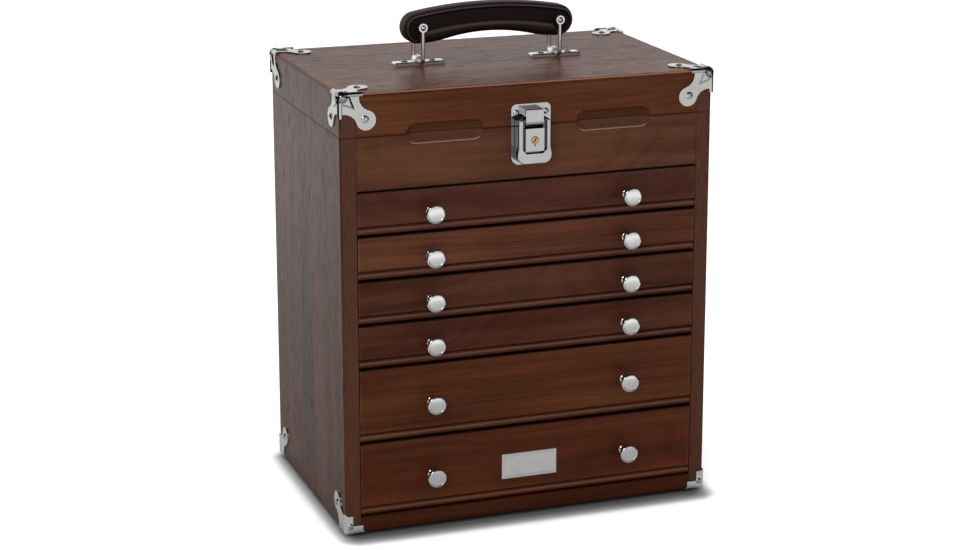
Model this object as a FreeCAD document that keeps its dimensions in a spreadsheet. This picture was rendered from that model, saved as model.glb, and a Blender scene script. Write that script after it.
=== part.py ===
import FreeCAD, Part
import os
import re
from math import atan2, hypot, sqrt
from FreeCAD import Placement, Rotation, Vector
from Sketcher import Constraint

# Collectors drawer chest: a walnut case with six drawers under a lidded till,
# nickel corners, a locking hasp and a folding carrying handle.
# Frame: Z up, X to the right, the front faces -Y, the feet stand on Z = 0.
# Lengths are in millimetres.

DIMENSIONS = [
    ("case_width", 368.0, "outside width of the wooden case and lid"),
    ("case_depth", 240.0, "outside depth of the wooden case and lid"),
    ("case_height", 380.0, "height of the wooden case from its underside to the lid"),
    ("lid_height", 40.5, "height of the wooden lid"),
    ("lid_gap", 0.5, "gap between case and closed lid"),
    ("foot_height", 4.0, "height of the rubber feet"),
    ("foot_radius", 7.3, "radius of a rubber foot where it meets the wood"),
    ("foot_tread_radius", 6.7, "radius of a rubber foot on the floor"),
    ("foot_inset_side", 26.0, "centre of a foot from the side"),
    ("foot_inset_front", 20.0, "centre of a foot from the front or back"),
    ("side_thickness", 15.0, "thickness of the side boards and lid side rails"),
    ("arris_radius", 2.4, "rounding of the outer edges of case and lid"),
    ("back_thickness", 9.0, "thickness of the back panel"),
    ("base_thickness", 9.0, "thickness of the bottom panel"),
    ("rail_height", 15.0, "height of the rail under the lowest drawer"),
    ("rail_thickness", 15.0, "thickness of the bottom rail"),
    ("deep_pitch", 72.3, "height of the opening of a deep drawer"),
    ("shallow_pitch", 42.4, "height of the opening of a shallow drawer"),
    ("front_gap", 0.8, "clearance around a drawer front"),
    ("front_thickness", 16.0, "thickness of a drawer front"),
    ("tray_thickness", 12.0, "thickness of the board in front of the till"),
    ("till_floor_thickness", 6.0, "thickness of the lined floor of the till"),
    ("scoop_offset", 83.4, "centre of a finger scoop from the middle"),
    ("scoop_straight", 55.5, "straight length of a finger scoop"),
    ("scoop_radius", 12.5, "radius of a finger scoop's hollow"),
    ("scoop_axis", 7.5, "distance of the hollow's axis in front of the face"),
    ("wall_thickness", 9.0, "thickness of the drawer sides and backs"),
    ("wall_below", 6.0, "drop of a drawer side below the top of its front"),
    ("wall_lift", 3.0, "height of a drawer side above its opening's lower edge"),
    ("drawer_back_space", 6.0, "space behind a closed drawer"),
    ("drawer_floor", 4.0, "thickness of a lined drawer bottom"),
    ("drawer_floor_lift", 2.0, "height of a drawer bottom above the sides' lower edge"),
    ("runner_height", 7.0, "height of a drawer runner"),
    ("runner_reach", 5.0, "how far a runner stands out of the case side"),
    ("runner_setback", 18.0, "start of a runner behind the front"),
    ("groove_height", 7.6, "height of the groove in a drawer side"),
    ("groove_depth", 4.8, "depth of the groove in a drawer side"),
    ("front_arris", 0.7, "bevel along the top of a drawer front"),
    ("bead_height", 7.4, "height of the bead along the foot of a drawer front"),
    ("quirk_width", 1.5, "width of the groove above the bead"),
    ("quirk_depth", 2.4, "depth of the groove above the bead"),
    ("knob_spacing", 196.0, "distance between the two knobs of a drawer"),
    ("knob_drop", 1.2, "drop of a knob below the middle of its opening"),
    ("knob_radius", 9.2, "radius of a knob's head"),
    ("knob_reach", 17.0, "how far a knob stands out of its drawer front"),
    ("knob_foot_radius", 5.0, "radius of a knob's foot"),
    ("knob_foot_height", 1.4, "height of a knob's foot"),
    ("knob_neck_radius", 3.3, "radius of a knob's neck"),
    ("knob_crown", 2.2, "height of the dome of a knob's head"),
    ("knob_rim", 1.6, "thickness of the rim of a knob's head"),
    ("knob_flare", 4.0, "height of the flare below a knob's head"),
    ("plate_width", 56.0, "width of the bare name plate"),
    ("plate_height", 25.5, "height of the bare name plate"),
    ("plate_thickness", 1.4, "thickness of the name plate's frame"),
    ("plate_frame", 2.2, "width of the name plate's raised frame"),
    ("plate_recess", 0.5, "depth of the name plate's field below its frame"),
    ("plate_bevel", 0.6, "bevel around the name plate"),
    ("plate_centre", 51.5, "height of the name plate's centre above the floor"),
    ("lid_lip", 3.0, "thickness of the lid's top board at its edge"),
    ("lid_field", 6.0, "extra thickness of the lid's top board between the rails"),
    ("lid_front_thickness", 15.0, "thickness of the lid's front rail"),
    ("lid_back_thickness", 12.0, "thickness of the lid's back rail"),
    ("lining_thickness", 1.0, "thickness of the lid's felt lining"),
    ("corner_gauge", 1.2, "thickness of the corner plates"),
    ("roll_length", 22.0, "length of a top corner's rolled edge from the point"),
    ("roll_radius", 2.6, "radius of a top corner's rolled edge"),
    ("roll_inset", 0.8, "centre of the rolled edge inside the wood's faces"),
    ("ball_radius", 5.6, "radius of the ball at a top corner's point"),
    ("ball_inset", 2.9, "centre of the ball inside the wood's faces"),
    ("dart_tip", 14.6, "inset of the raised darts' points from both edges"),
    ("dart_root", 9.4, "inset of a dart's wide end along the rolled edges"),
    ("dart_rise", 1.0, "height of a dart over its arm"),
    ("dart_slope", 64.0, "slope of a dart's sides, in degrees from upright"),
    ("lobe_inset", 24.8, "centre of a corner arm's round lobe from both edges"),
    ("lobe_radius", 9.3, "radius of a corner arm's round lobe"),
    ("lobe_screw", 23.8, "screw in a corner arm's lobe from both edges"),
    ("waist_inset", 31.0, "centre of a waist's hollow along its edge"),
    ("waist_offset", 3.8, "centre of a waist's hollow from its edge"),
    ("waist_radius", 12.6, "radius of the hollows beside a corner arm's waist"),
    ("bend_radius", 2.5, "outer radius of the bends of a bottom corner"),
    ("step_reach", 16.8, "reach of the two legs of a stepped arm"),
    ("step_width", 7.0, "width of the two legs of a stepped arm"),
    ("step_hollow", 1.6, "radius in the angle between those legs"),
    ("cusp_height", 3.4, "height of the hollow cusp at the end of each leg"),
    ("step_screw_inset", 4.4, "screw of a stepped arm from the side"),
    ("step_screw_lift", 6.8, "screw of a stepped arm above the wood's lower edge"),
    ("screw_rise", 1.5, "height of the domed screw heads"),
    ("small_screw", 2.9, "radius of the screw heads in hinges, latch and stepped arms"),
    ("large_screw", 3.6, "radius of the screw heads in lobed arms and saddles"),
    ("hinge_width", 50.0, "length of a back hinge"),
    ("hinge_leaf", 19.0, "height of a hinge leaf from the pin"),
    ("hinge_gauge", 1.2, "thickness of a hinge leaf"),
    ("hinge_offset", 110.0, "centre of a hinge from the middle"),
    ("knuckle_radius", 2.8, "radius of a hinge knuckle"),
    ("knuckle_gap", 0.2, "gap between two knuckles"),
    ("hinge_standoff", 0.3, "gap between the knuckles and the back"),
    ("hinge_pin_radius", 1.2, "radius of the hinge pins"),
    ("running_clearance", 0.05, "radial clearance of a pin that turns"),
    ("open_clearance", 0.3, "radial clearance at the pin that is left free"),
    ("hinge_screw_stagger", 1.0, "how much further from the pin a hinge's outer screws sit"),
    ("latch_width", 38.8, "width of the latch's plates"),
    ("latch_gauge", 1.2, "thickness of the latch's plates"),
    ("strike_top", 404.8, "height of the strike plate's top above the floor"),
    ("strike_bottom", 384.8, "height of the strike plate's lower edge"),
    ("strike_corner", 4.8, "rounding of the strike plate's upper corners"),
    ("strike_screw_offset", 14.6, "strike plate's screws from the middle"),
    ("strike_screw_height", 396.8, "height of the strike plate's screws above the floor"),
    ("boss_width", 17.4, "width of the strike plate's boss"),
    ("boss_top", 401.2, "height of the boss's top above the floor"),
    ("boss_arris", 0.8, "rounding of the boss's upper front edge"),
    ("boss_radius", 4.7, "rounding of the boss under the hasp's pin"),
    ("hasp_pivot", 389.5, "height of the hasp's pin above the floor"),
    ("hasp_pin_reach", 7.0, "distance of the hasp's pin in front of the case"),
    ("hasp_pin_radius", 1.5, "radius of the hasp's pin"),
    ("hasp_front", 12.2, "how far the hasp stands out of the case"),
    ("hasp_back", 2.0, "gap between the hasp's skirt and the case"),
    ("hasp_width", 32.0, "width across the hasp's two bars"),
    ("hasp_grip_width", 34.4, "width of the hasp's grip"),
    ("hasp_shoulder", 4.3, "drop of the bars' outer corners below their inner ones"),
    ("hasp_neck", 365.5, "height where the hasp starts to flare into its grip"),
    ("hasp_flare", 6.0, "height of that flare"),
    ("hasp_bottom", 349.5, "height of the hasp's lower edge above the floor"),
    ("hasp_corner", 8.0, "rounding of the hasp's lower corners"),
    ("hasp_arris", 1.2, "rounding of the hasp's front edges"),
    ("hasp_wall", 1.6, "thickness of the hasp's walls"),
    ("hasp_hollow", 5.2, "depth of the hollow behind the hasp"),
    ("hasp_slot_width", 18.4, "width between the hasp's bars"),
    ("lock_plate_width", 18.2, "width of the hasp's middle plate"),
    ("lock_plate_top", 383.2, "height of the middle plate's top above the floor"),
    ("lock_plate_bottom", 361.7, "height of the middle plate's lower edge"),
    ("hasp_groove", 3.1, "width of the groove beside the middle plate"),
    ("hasp_groove_foot", 2.5, "width of the groove below the middle plate"),
    ("hasp_groove_corner", 4.0, "bevel across the groove's lower corners"),
    ("hasp_groove_depth", 3.5, "depth of the groove around the middle plate"),
    ("base_top", 383.5, "height of the latch's lower plate's top"),
    ("base_bottom", 347.5, "height of the latch's lower plate's lower edge"),
    ("base_screw_offset", 10.5, "lower plate's screws from the middle"),
    ("base_screw_height", 356.5, "height of the lower plate's screws above the floor"),
    ("staple_width", 3.0, "width of the hook that the lock's cam turns behind"),
    ("staple_bottom", 356.0, "height of the hook's lower edge"),
    ("staple_top", 366.0, "height of the hook's tip"),
    ("staple_reach", 6.0, "how far the hook stands out of the case"),
    ("staple_gauge", 1.2, "thickness of the hook"),
    ("staple_notch", 5.0, "width of the notch that lets the hasp rise past the hook"),
    ("lock_height", 372.4, "height of the lock cylinder above the floor"),
    ("lock_radius", 3.8, "radius of the lock cylinder"),
    ("lock_proud", 0.3, "how far the lock cylinder stands out of the hasp"),
    ("keyway_width", 1.2, "width of the keyway"),
    ("keyway_length", 5.2, "length of the keyway"),
    ("keyway_depth", 3.0, "depth of the keyway"),
    ("keyway_lean", 32.0, "lean of the keyway at rest, in degrees"),
    ("pin_hole_drop", 4.8, "drop of the small hole below the lock's centre"),
    ("pin_hole_radius", 0.5, "radius of that hole"),
    ("pin_hole_depth", 1.5, "depth of that hole"),
    ("cam_length", 12.0, "reach of the lock's cam"),
    ("cam_width", 4.4, "width of the lock's cam"),
    ("cam_front", 4.5, "front of the lock's cam from the case"),
    ("cam_thickness", 2.0, "thickness of the lock's cam"),
    ("bail_offset", 70.0, "distance of a handle bail's pivot from the middle"),
    ("bail_pivot", 3.2, "height of a bail's pivot above the lid"),
    ("bail_length", 34.1, "distance between a bail's pivot and the grip's pin"),
    ("bail_half_span", 15.0, "distance of a bail's arms from the middle of the grip"),
    ("bail_radius", 2.0, "radius of a bail's rods"),
    ("bail_bend", 4.5, "bend radius of a bail's lower corners"),
    ("eye_radius", 4.3, "radius of a bail's eyes"),
    ("eye_thickness", 4.2, "thickness of a bail's eyes"),
    ("rivet_radius", 1.5, "radius of the pin through the grip"),
    ("rivet_head_radius", 2.8, "radius of the pin's domed heads"),
    ("rivet_head_height", 1.4, "height of the pin's domed heads"),
    ("saddle_length", 50.5, "length of a handle saddle"),
    ("saddle_width", 12.0, "width of a handle saddle"),
    ("saddle_gauge", 3.0, "thickness of a handle saddle"),
    ("saddle_bevel", 1.1, "bevel around a handle saddle"),
    ("saddle_hump", 5.2, "outer radius of a saddle's hump"),
    ("saddle_screw", 14.0, "distance of a saddle's screws from its middle"),
    ("grip_end", 71.7, "distance of the centres of the grip's round ends from the middle"),
    ("grip_end_radius", 15.1, "radius of the grip's round ends"),
    ("grip_centre", 460.7, "height of those centres above the floor"),
    ("grip_depth", 24.0, "depth of the grip"),
    ("grip_crown", 482.3, "height of the top of the grip's arch above the floor"),
    ("grip_underside", 454.2, "height of the underside of the grip's arch"),
    ("grip_heel", 120.0, "radius of the swell between a round end and that arch"),
    ("grip_rounding", 7.5, "rounding along the grip's edges"),
]

doc = FreeCAD.newDocument("collectors_drawer_chest")
sheet = doc.addObject("Spreadsheet::Sheet", "Dims")
for row, (alias, value, note) in enumerate(DIMENSIONS, start=1):
    sheet.set(f"A{row}", note)
    sheet.set(f"B{row}", str(value))
    sheet.setAlias(f"B{row}", alias)
doc.recompute()

ALIASES = {alias for alias, value, note in DIMENSIONS}
LEFT, RIGHT = -1, 1
nodes = []

# Places that many pieces share, as expressions on the sheet.
SIDE = "(case_width / 2)"
INNER = "(case_width / 2 - side_thickness)"
FRONT = "((knob_reach - case_depth - 2 * knuckle_radius - hinge_standoff) / 2)"
BACK = f"({FRONT} + case_depth)"
MIDDLE = f"({FRONT} + case_depth / 2)"
SEAM = "(foot_height + case_height)"
LID_BOTTOM = f"({SEAM} + lid_gap)"
LID_TOP = f"({LID_BOTTOM} + lid_height)"
HINGE_Y = f"({BACK} + hinge_standoff + knuckle_radius)"
HINGE_Z = f"({SEAM} + lid_gap / 2)"


def cells(text):
    """Put the sheet's name before every dimension that an expression names."""
    return re.sub(r"[a-z_]+", lambda word: f"Dims.{word[0]}" if word[0] in ALIASES else word[0], str(text))


def size(text):
    """Value of an expression on the sheet's dimensions."""
    return float(sheet.evalExpression(cells(text)))


def bind(item, **expressions):
    """Bind properties of an object to expressions on the sheet."""
    for name, text in expressions.items():
        item.setExpression(name, cells(text))


def place(item, position, rotation=None):
    """Turn an object, then bind its position to three expressions."""
    if rotation is not None:
        item.Placement = Placement(Vector(), rotation)
    for axis, text in zip("xyz", position):
        item.setExpression(f"Placement.Base.{axis}", cells(text))


def node(item, label):
    """Name an object as one sub-part of the chest."""
    item.Label = label
    nodes.append(item)
    return item


def box(name, corner, sizes):
    """Rectangular block from its lowest corner."""
    block = doc.addObject("Part::Box", name)
    bind(block, Length=sizes[0], Width=sizes[1], Height=sizes[2])
    place(block, corner)
    return block


def rod(name, start, along, radius, length):
    """Round rod from a point in a given direction."""
    cylinder = doc.addObject("Part::Cylinder", name)
    bind(cylinder, Radius=radius, Height=length)
    place(cylinder, start, Rotation(Vector(0, 0, 1), Vector(*along)))
    return cylinder


def fuse(name, parts):
    """One solid from several that touch or overlap."""
    joined = doc.addObject("Part::MultiFuse", name)
    joined.Shapes = parts
    joined.Refine = True
    return joined


def cut(name, base, tool):
    """A solid less another."""
    result = doc.addObject("Part::Cut", name)
    result.Base = base
    result.Tool = tool
    return result


def group(label, parts):
    """Like pieces that stay separate solids in one sub-part."""
    together = doc.addObject("Part::Compound", label)
    together.Links = parts
    return node(together, label)


def new_body(name):
    """Empty body."""
    return doc.addObject("PartDesign::Body", name)


def sketch(body, role, x="0", y="0", z="0"):
    """Sketch on one of the body's origin planes, moved in that plane's own axes."""
    drawing = body.newObject("Sketcher::SketchObject", body.Name + "_sketch")
    support = next(item for item in body.Origin.OriginFeatures if item.Role == role)
    drawing.AttachmentSupport = [(support, "")]
    drawing.MapMode = "FlatFace"
    for axis, text in zip("xyz", (x, y, z)):
        drawing.setExpression(f"AttachmentOffset.Base.{axis}", cells(text))
    return drawing


def fix(drawing, kind, where, text):
    """Dimension of a sketch, bound to an expression."""
    index = drawing.addConstraint(Constraint(kind, *where, size(text)))
    drawing.setExpression(f"Constraints[{index}]", cells(text))


def arc_between(start, end, radius, turn):
    """Arc of less than half a turn; turn is 1 to the left of the way there, -1 to the right."""
    chord = end - start
    rise = sqrt(max(radius ** 2 - (chord.Length / 2) ** 2, 0.0))
    to_centre = Vector(-chord.y, chord.x, 0).normalize() * rise * turn
    centre = (start + end) * 0.5 + to_centre
    first, last = (start, end) if turn > 0 else (end, start)
    angles = [atan2(point.y - centre.y, point.x - centre.x) for point in (first, last)]
    return Part.ArcOfCircle(Part.Circle(centre, Vector(0, 0, 1), radius), *angles)


def outline(drawing, *points):
    """Closed outline. A point is (x, y), or (x, y, radius, turn) at the end of an arc."""
    corners = [Vector(size(point[0]), size(point[1]), 0) for point in points]
    joints = []
    for k, point in enumerate(points):
        if len(point) == 4:
            radius, turn = point[2:]
            index = drawing.addGeometry(arc_between(corners[k - 1], corners[k], size(radius), turn))
            joints.append((index, 1, 2) if turn > 0 else (index, 2, 1))
        else:
            index = drawing.addGeometry(Part.LineSegment(corners[k - 1], corners[k]))
            joints.append((index, 1, 2))
    for k, (index, begin, end) in enumerate(joints):
        following = joints[(k + 1) % len(joints)]
        drawing.addConstraint(Constraint("Coincident", index, end, following[0], following[1]))
    for (index, begin, end), point in zip(joints, points):
        fix(drawing, "DistanceX", (-1, 1, index, end), point[0])
        fix(drawing, "DistanceY", (-1, 1, index, end), point[1])
        if len(point) == 4:
            fix(drawing, "Radius", (index,), point[2])
    return drawing


def rectangle(drawing, left, bottom, right, top):
    """Closed rectangle."""
    return outline(drawing, (left, bottom), (right, bottom), (right, top), (left, top))


def circle(drawing, x, y, radius):
    """Full circle."""
    centre = Vector(size(x), size(y), 0)
    index = drawing.addGeometry(Part.Circle(centre, Vector(0, 0, 1), size(radius)))
    fix(drawing, "DistanceX", (-1, 1, index, 3), x)
    fix(drawing, "DistanceY", (-1, 1, index, 3), y)
    fix(drawing, "Radius", (index,), radius)
    return drawing


def feature(body, kind, drawing, **settings):
    """Feature made from a sketch; texts are bound to the sheet, the rest is set."""
    made = body.newObject("PartDesign::" + kind, f"{body.Name}_{kind.lower()}")
    made.Profile = drawing
    drawing.Visibility = False
    for name, value in settings.items():
        if isinstance(value, str):
            made.setExpression(name, cells(value))
        else:
            setattr(made, name, value)
    return made


def soften(body, kind, size_text, chosen):
    """Fillet or chamfer on the edges of the body's last feature that a test picks."""
    doc.recompute()
    base = body.Tip
    picked = [f"Edge{k}" for k, edge in enumerate(base.Shape.Edges, start=1) if chosen(edge.BoundBox)]
    made = body.newObject("PartDesign::" + kind, f"{body.Name}_{kind.lower()}")
    made.Base = (base, picked)
    made.setExpression("Radius" if kind == "Fillet" else "Size", cells(size_text))
    return made


def near(first, second):
    """Whether two lengths are the same to a hundredth of a millimetre."""
    return abs(first - second) < 0.01


# Screw heads: plain domes.

def screw(position, facing, radius="small_screw"):
    """Screw head whose flat side lies at a position."""
    head = doc.addObject("Part::Sphere", "screw")
    ball = f"(({radius} ^ 2 + screw_rise ^ 2) / (2 * screw_rise))"
    bind(head, Radius=ball, Angle1=f"asin(1 - screw_rise / {ball})")
    centre = [f"{text} - {share} * ({ball} - screw_rise)" for text, share in zip(position, facing)]
    place(head, centre, Rotation(Vector(0, 0, 1), Vector(*facing)))
    return head


# Case: two end boards, back, bottom, rail, till front and till floor.

def end_board(label, side, bottom, height):
    """Upright board at one side, its outer edges rounded."""
    body = new_body(label)
    outer = f"{side} * {SIDE}"
    inner = f"{side} * {INNER}"
    left, right = (outer, inner) if side == LEFT else (inner, outer)
    drawing = sketch(body, "XY_Plane", z=bottom)
    rectangle(drawing, left, FRONT, right, BACK)
    feature(body, "Pad", drawing, Length=height)
    soften(body, "Fillet", "arris_radius",
           lambda b: near(b.XLength + b.YLength, 0) and near(b.XMin, size(outer)))
    return node(body, label)


end_board("side_left", LEFT, "foot_height", "case_height")
end_board("side_right", RIGHT, "foot_height", "case_height")

BETWEEN = f"(2 * {INNER})"
node(box("back_panel", (f"-{INNER}", f"{BACK} - back_thickness", "foot_height"),
         (BETWEEN, "back_thickness", "case_height")), "back_panel")
node(box("bottom_rail", (f"-{INNER}", FRONT, "foot_height"),
         (BETWEEN, "rail_thickness", "rail_height")), "bottom_rail")
node(box("bottom_panel", (f"-{INNER}", f"{FRONT} + rail_thickness", "foot_height"),
         (BETWEEN, "case_depth - rail_thickness - back_thickness", "base_thickness")), "bottom_panel")

TRAY_BOTTOM = "(foot_height + rail_height + 2 * deep_pitch + 4 * shallow_pitch + front_gap)"
TILL_FLOOR_BOTTOM = f"({TRAY_BOTTOM} - front_gap)"


def scoop(side):
    """Long hollow with round ends that makes one finger scoop across the seam."""
    centre_y = f"{FRONT} - scoop_axis"
    start = f"{side} * scoop_offset - scoop_straight / 2"
    pieces = [rod("scoop_trough", (start, centre_y, HINGE_Z), (1, 0, 0), "scoop_radius", "scoop_straight")]
    for end in (start, f"{start} + scoop_straight"):
        ball = doc.addObject("Part::Sphere", "scoop_end")
        bind(ball, Radius="scoop_radius")
        place(ball, (end, centre_y, HINGE_Z))
        pieces.append(ball)
    return fuse("scoop", pieces)


scoops = fuse("scoops", [scoop(LEFT), scoop(RIGHT)])
tray_board = box("tray_board", (f"-{INNER}", FRONT, TRAY_BOTTOM),
                 (BETWEEN, "tray_thickness", f"{SEAM} - {TRAY_BOTTOM}"))
node(cut("tray_front", tray_board, scoops), "tray_front")
node(box("till_floor", (f"-{INNER}", f"{FRONT} + tray_thickness", TILL_FLOOR_BOTTOM),
         (BETWEEN, "case_depth - tray_thickness - back_thickness", "till_floor_thickness")), "till_floor")

# Drawers, numbered from the top. Each opening's lower edge and height:
OPENINGS = []
for number in range(1, 7):
    if number <= 4:
        OPENINGS.append((f"(foot_height + rail_height + 2 * deep_pitch + {4 - number} * shallow_pitch)",
                         "shallow_pitch"))
    else:
        OPENINGS.append((f"(foot_height + rail_height + {6 - number} * deep_pitch)", "deep_pitch"))

WALL_START = f"({FRONT} + front_thickness)"
WALL_END = f"({BACK} - back_thickness - drawer_back_space)"
WALL_LENGTH = f"({WALL_END} - {WALL_START})"
DRAWER_SIDE = f"({INNER} - front_gap)"
BEAD_RADIUS = "((bead_height ^ 2 / 4 + quirk_depth ^ 2) / (2 * quirk_depth))"


def drawer_front(label, bottom, height):
    """Flat front with a quirk and a half-round bead along its foot."""
    body = new_body(label)
    drawing = sketch(body, "YZ_Plane")
    outline(drawing, ("front_thickness", "0"), ("front_thickness", height), ("front_arris", height),
            ("0", f"{height} - front_arris"), ("0", "bead_height + quirk_width"),
            ("quirk_depth", "bead_height + quirk_width"), ("quirk_depth", "bead_height"),
            ("quirk_depth", "0", BEAD_RADIUS, 1))
    feature(body, "Pad", drawing, Length=f"2 * {DRAWER_SIDE}", Midplane=True)
    place(body, ("0", FRONT, f"{bottom} + front_gap"))
    return node(body, label)


def wall_heights(bottom, height):
    """Lower edge and height of a drawer's sides, and the middle of its grooves."""
    wall_bottom = f"({bottom} + wall_lift)"
    wall_height = f"({height} - wall_lift - front_gap - wall_below)"
    return wall_bottom, wall_height, f"({wall_bottom} + {wall_height} / 2)"


def drawer_walls(label, bottom, height):
    """Two grooved sides and a back."""
    wall_bottom, wall_height, groove = wall_heights(bottom, height)
    parts = []
    for side in (LEFT, RIGHT):
        wall_x = f"-{DRAWER_SIDE}" if side == LEFT else f"({DRAWER_SIDE} - wall_thickness)"
        groove_x = f"-{DRAWER_SIDE}" if side == LEFT else f"({DRAWER_SIDE} - groove_depth)"
        board = box(label + "_board", (wall_x, WALL_START, wall_bottom),
                    ("wall_thickness", WALL_LENGTH, wall_height))
        slot = box(label + "_slot", (groove_x, WALL_START, f"{groove} - groove_height / 2"),
                   ("groove_depth", WALL_LENGTH, "groove_height"))
        parts.append(cut(label + "_side", board, slot))
    parts.append(box(label + "_back",
                     (f"wall_thickness - {DRAWER_SIDE}", f"{WALL_END} - wall_thickness", wall_bottom),
                     (f"2 * ({DRAWER_SIDE} - wall_thickness)", "wall_thickness", wall_height)))
    return group(label, parts)


def knob(name, height):
    """Mushroom knob on a short neck, turned about its own axis."""
    body = new_body(name)
    drawing = sketch(body, "YZ_Plane")
    rim = "(knob_crown - knob_reach)"
    crown_radius = "((knob_radius ^ 2 + knob_crown ^ 2) / (2 * knob_crown))"
    outline(drawing, ("-knob_reach", "0"), (rim, "knob_radius", crown_radius, -1),
            (f"{rim} + knob_rim", "knob_radius"), (f"{rim} + knob_rim + knob_flare", "knob_neck_radius"),
            ("-knob_foot_height", "knob_neck_radius"), ("-knob_foot_height", "knob_foot_radius"),
            ("0", "knob_foot_radius"), ("0", "0"))
    feature(body, "Revolution", drawing, ReferenceAxis=(drawing, ["H_Axis"]), Angle=360.0)
    place(body, ("-knob_spacing / 2", FRONT, height))
    return body


def mirrored(name, source, normal=(1, 0, 0)):
    """Copy of a piece on the other side of the middle plane."""
    copy = doc.addObject("Part::Mirroring", name)
    copy.Source = source
    copy.Normal = Vector(*normal)
    return copy


runners = []
for number, (bottom, height) in enumerate(OPENINGS, start=1):
    name = f"drawer_{number}"
    wall_bottom, wall_height, groove = wall_heights(bottom, height)
    drawer_front(name + "_front", bottom, f"({height} - 2 * front_gap)")
    drawer_walls(name + "_walls", bottom, height)
    node(box(name + "_bottom",
             (f"wall_thickness - {DRAWER_SIDE}", WALL_START, f"{wall_bottom} + drawer_floor_lift"),
             (f"2 * ({DRAWER_SIDE} - wall_thickness)", f"{WALL_LENGTH} - wall_thickness", "drawer_floor")),
         name + "_bottom")
    left_knob = knob(name + "_knob", f"{bottom} + {height} / 2 - knob_drop")
    group(name + "_knobs", [left_knob, mirrored(name + "_knob_right", left_knob)])
    for runner_x in (f"-{INNER}", f"{INNER} - runner_reach"):
        runners.append(box("runner", (runner_x, f"{FRONT} + runner_setback", f"{groove} - runner_height / 2"),
                           ("runner_reach", "case_depth - back_thickness - runner_setback", "runner_height")))
group("drawer_runners", runners)

# Bare plate on the lowest drawer: a raised frame around an empty field.

plate = new_body("nameplate")
frame_drawing = sketch(plate, "XZ_Plane")
rectangle(frame_drawing, "-plate_width / 2", "-plate_height / 2", "plate_width / 2", "plate_height / 2")
feature(plate, "Pad", frame_drawing, Length="plate_thickness")
soften(plate, "Chamfer", "plate_bevel",
       lambda b: near(b.YMin, -size("plate_thickness")) and near(b.YLength, 0))
field_drawing = sketch(plate, "XZ_Plane", z="plate_thickness - plate_recess")
rectangle(field_drawing, "plate_frame - plate_width / 2", "plate_frame - plate_height / 2",
          "plate_width / 2 - plate_frame", "plate_height / 2 - plate_frame")
feature(plate, "Pocket", field_drawing, Length="plate_recess", Reversed=True)
place(plate, ("0", FRONT, "plate_centre"))
node(plate, "nameplate")

# Rubber feet.

feet = []
for side in (LEFT, RIGHT):
    for foot_y in (f"{FRONT} + foot_inset_front", f"{BACK} - foot_inset_front"):
        foot = doc.addObject("Part::Cone", "foot")
        bind(foot, Radius1="foot_tread_radius", Radius2="foot_radius", Height="foot_height")
        place(foot, (f"{side} * ({SIDE} - foot_inset_side)", foot_y, "0"))
        feet.append(foot)
group("rubber_feet", feet)

# Lid: top board with a deeper field between four rails, lined with felt.

LID_RAIL_HEIGHT = "(lid_height - lid_lip)"
LID_RAIL_TOP = f"({LID_BOTTOM} + {LID_RAIL_HEIGHT})"
FIELD_FRONT = f"({FRONT} + lid_front_thickness)"
FIELD_BACK = f"({BACK} - lid_back_thickness)"

lid_top = new_body("lid_top")
top_drawing = sketch(lid_top, "XY_Plane", z=LID_RAIL_TOP)
rectangle(top_drawing, f"-{SIDE}", FRONT, SIDE, BACK)
feature(lid_top, "Pad", top_drawing, Length="lid_lip")
soften(lid_top, "Fillet", "arris_radius",
       lambda b: near(b.XLength + b.YLength, 0) or near(b.ZMin, size(LID_TOP)))
under_drawing = sketch(lid_top, "XY_Plane", z=LID_RAIL_TOP)
rectangle(under_drawing, f"-{INNER}", FIELD_FRONT, INNER, FIELD_BACK)
feature(lid_top, "Pad", under_drawing, Length="lid_field", Reversed=True)
node(lid_top, "lid_top")

end_board("lid_left_rail", LEFT, LID_BOTTOM, LID_RAIL_HEIGHT)
end_board("lid_right_rail", RIGHT, LID_BOTTOM, LID_RAIL_HEIGHT)
lid_front = box("lid_front_board", (f"-{INNER}", FRONT, LID_BOTTOM),
                (BETWEEN, "lid_front_thickness", LID_RAIL_HEIGHT))
node(cut("lid_front_rail", lid_front, scoops), "lid_front_rail")
node(box("lid_back_rail", (f"-{INNER}", FIELD_BACK, LID_BOTTOM),
         (BETWEEN, "lid_back_thickness", LID_RAIL_HEIGHT)), "lid_back_rail")
node(box("lid_lining", (f"-{INNER}", FIELD_FRONT, f"{LID_RAIL_TOP} - lid_field - lining_thickness"),
         (BETWEEN, f"{FIELD_BACK} - {FIELD_FRONT}", "lining_thickness")), "lid_lining")

# Metal corners. In a corner's own frame the wood fills the positive octant,
# the point is at the origin and each arm lies on one of the three planes.
# An arm's outline runs from one edge, round the arm, to the other edge.

PLANES = ("XY_Plane", "XZ_Plane", "YZ_Plane")
OUTWARD_IS_BACK = {"XY_Plane": True, "XZ_Plane": False, "YZ_Plane": True}


def lobed_arm(start):
    """Round lobe on a waist between two hollows; start is how far from the edges the outline begins."""
    lobe, lobe_r = size("lobe_inset"), size("lobe_radius")
    waist_u, waist_v, waist_r = size("waist_inset"), size("waist_offset"), size("waist_radius")
    reach = hypot(lobe - waist_u, lobe - waist_v)
    meet_u = waist_u + (lobe - waist_u) * waist_r / reach
    meet_v = waist_v + (lobe - waist_v) * waist_r / reach
    tip = lobe + lobe_r * sqrt(0.5)
    root = waist_u - sqrt(waist_r ** 2 - (waist_v - start) ** 2)
    return [(start, start), (root, start), (meet_u, meet_v, "waist_radius", -1),
            (tip, tip, "lobe_radius", 1), (meet_v, meet_u, "lobe_radius", 1),
            (start, root, "waist_radius", -1)]


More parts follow.
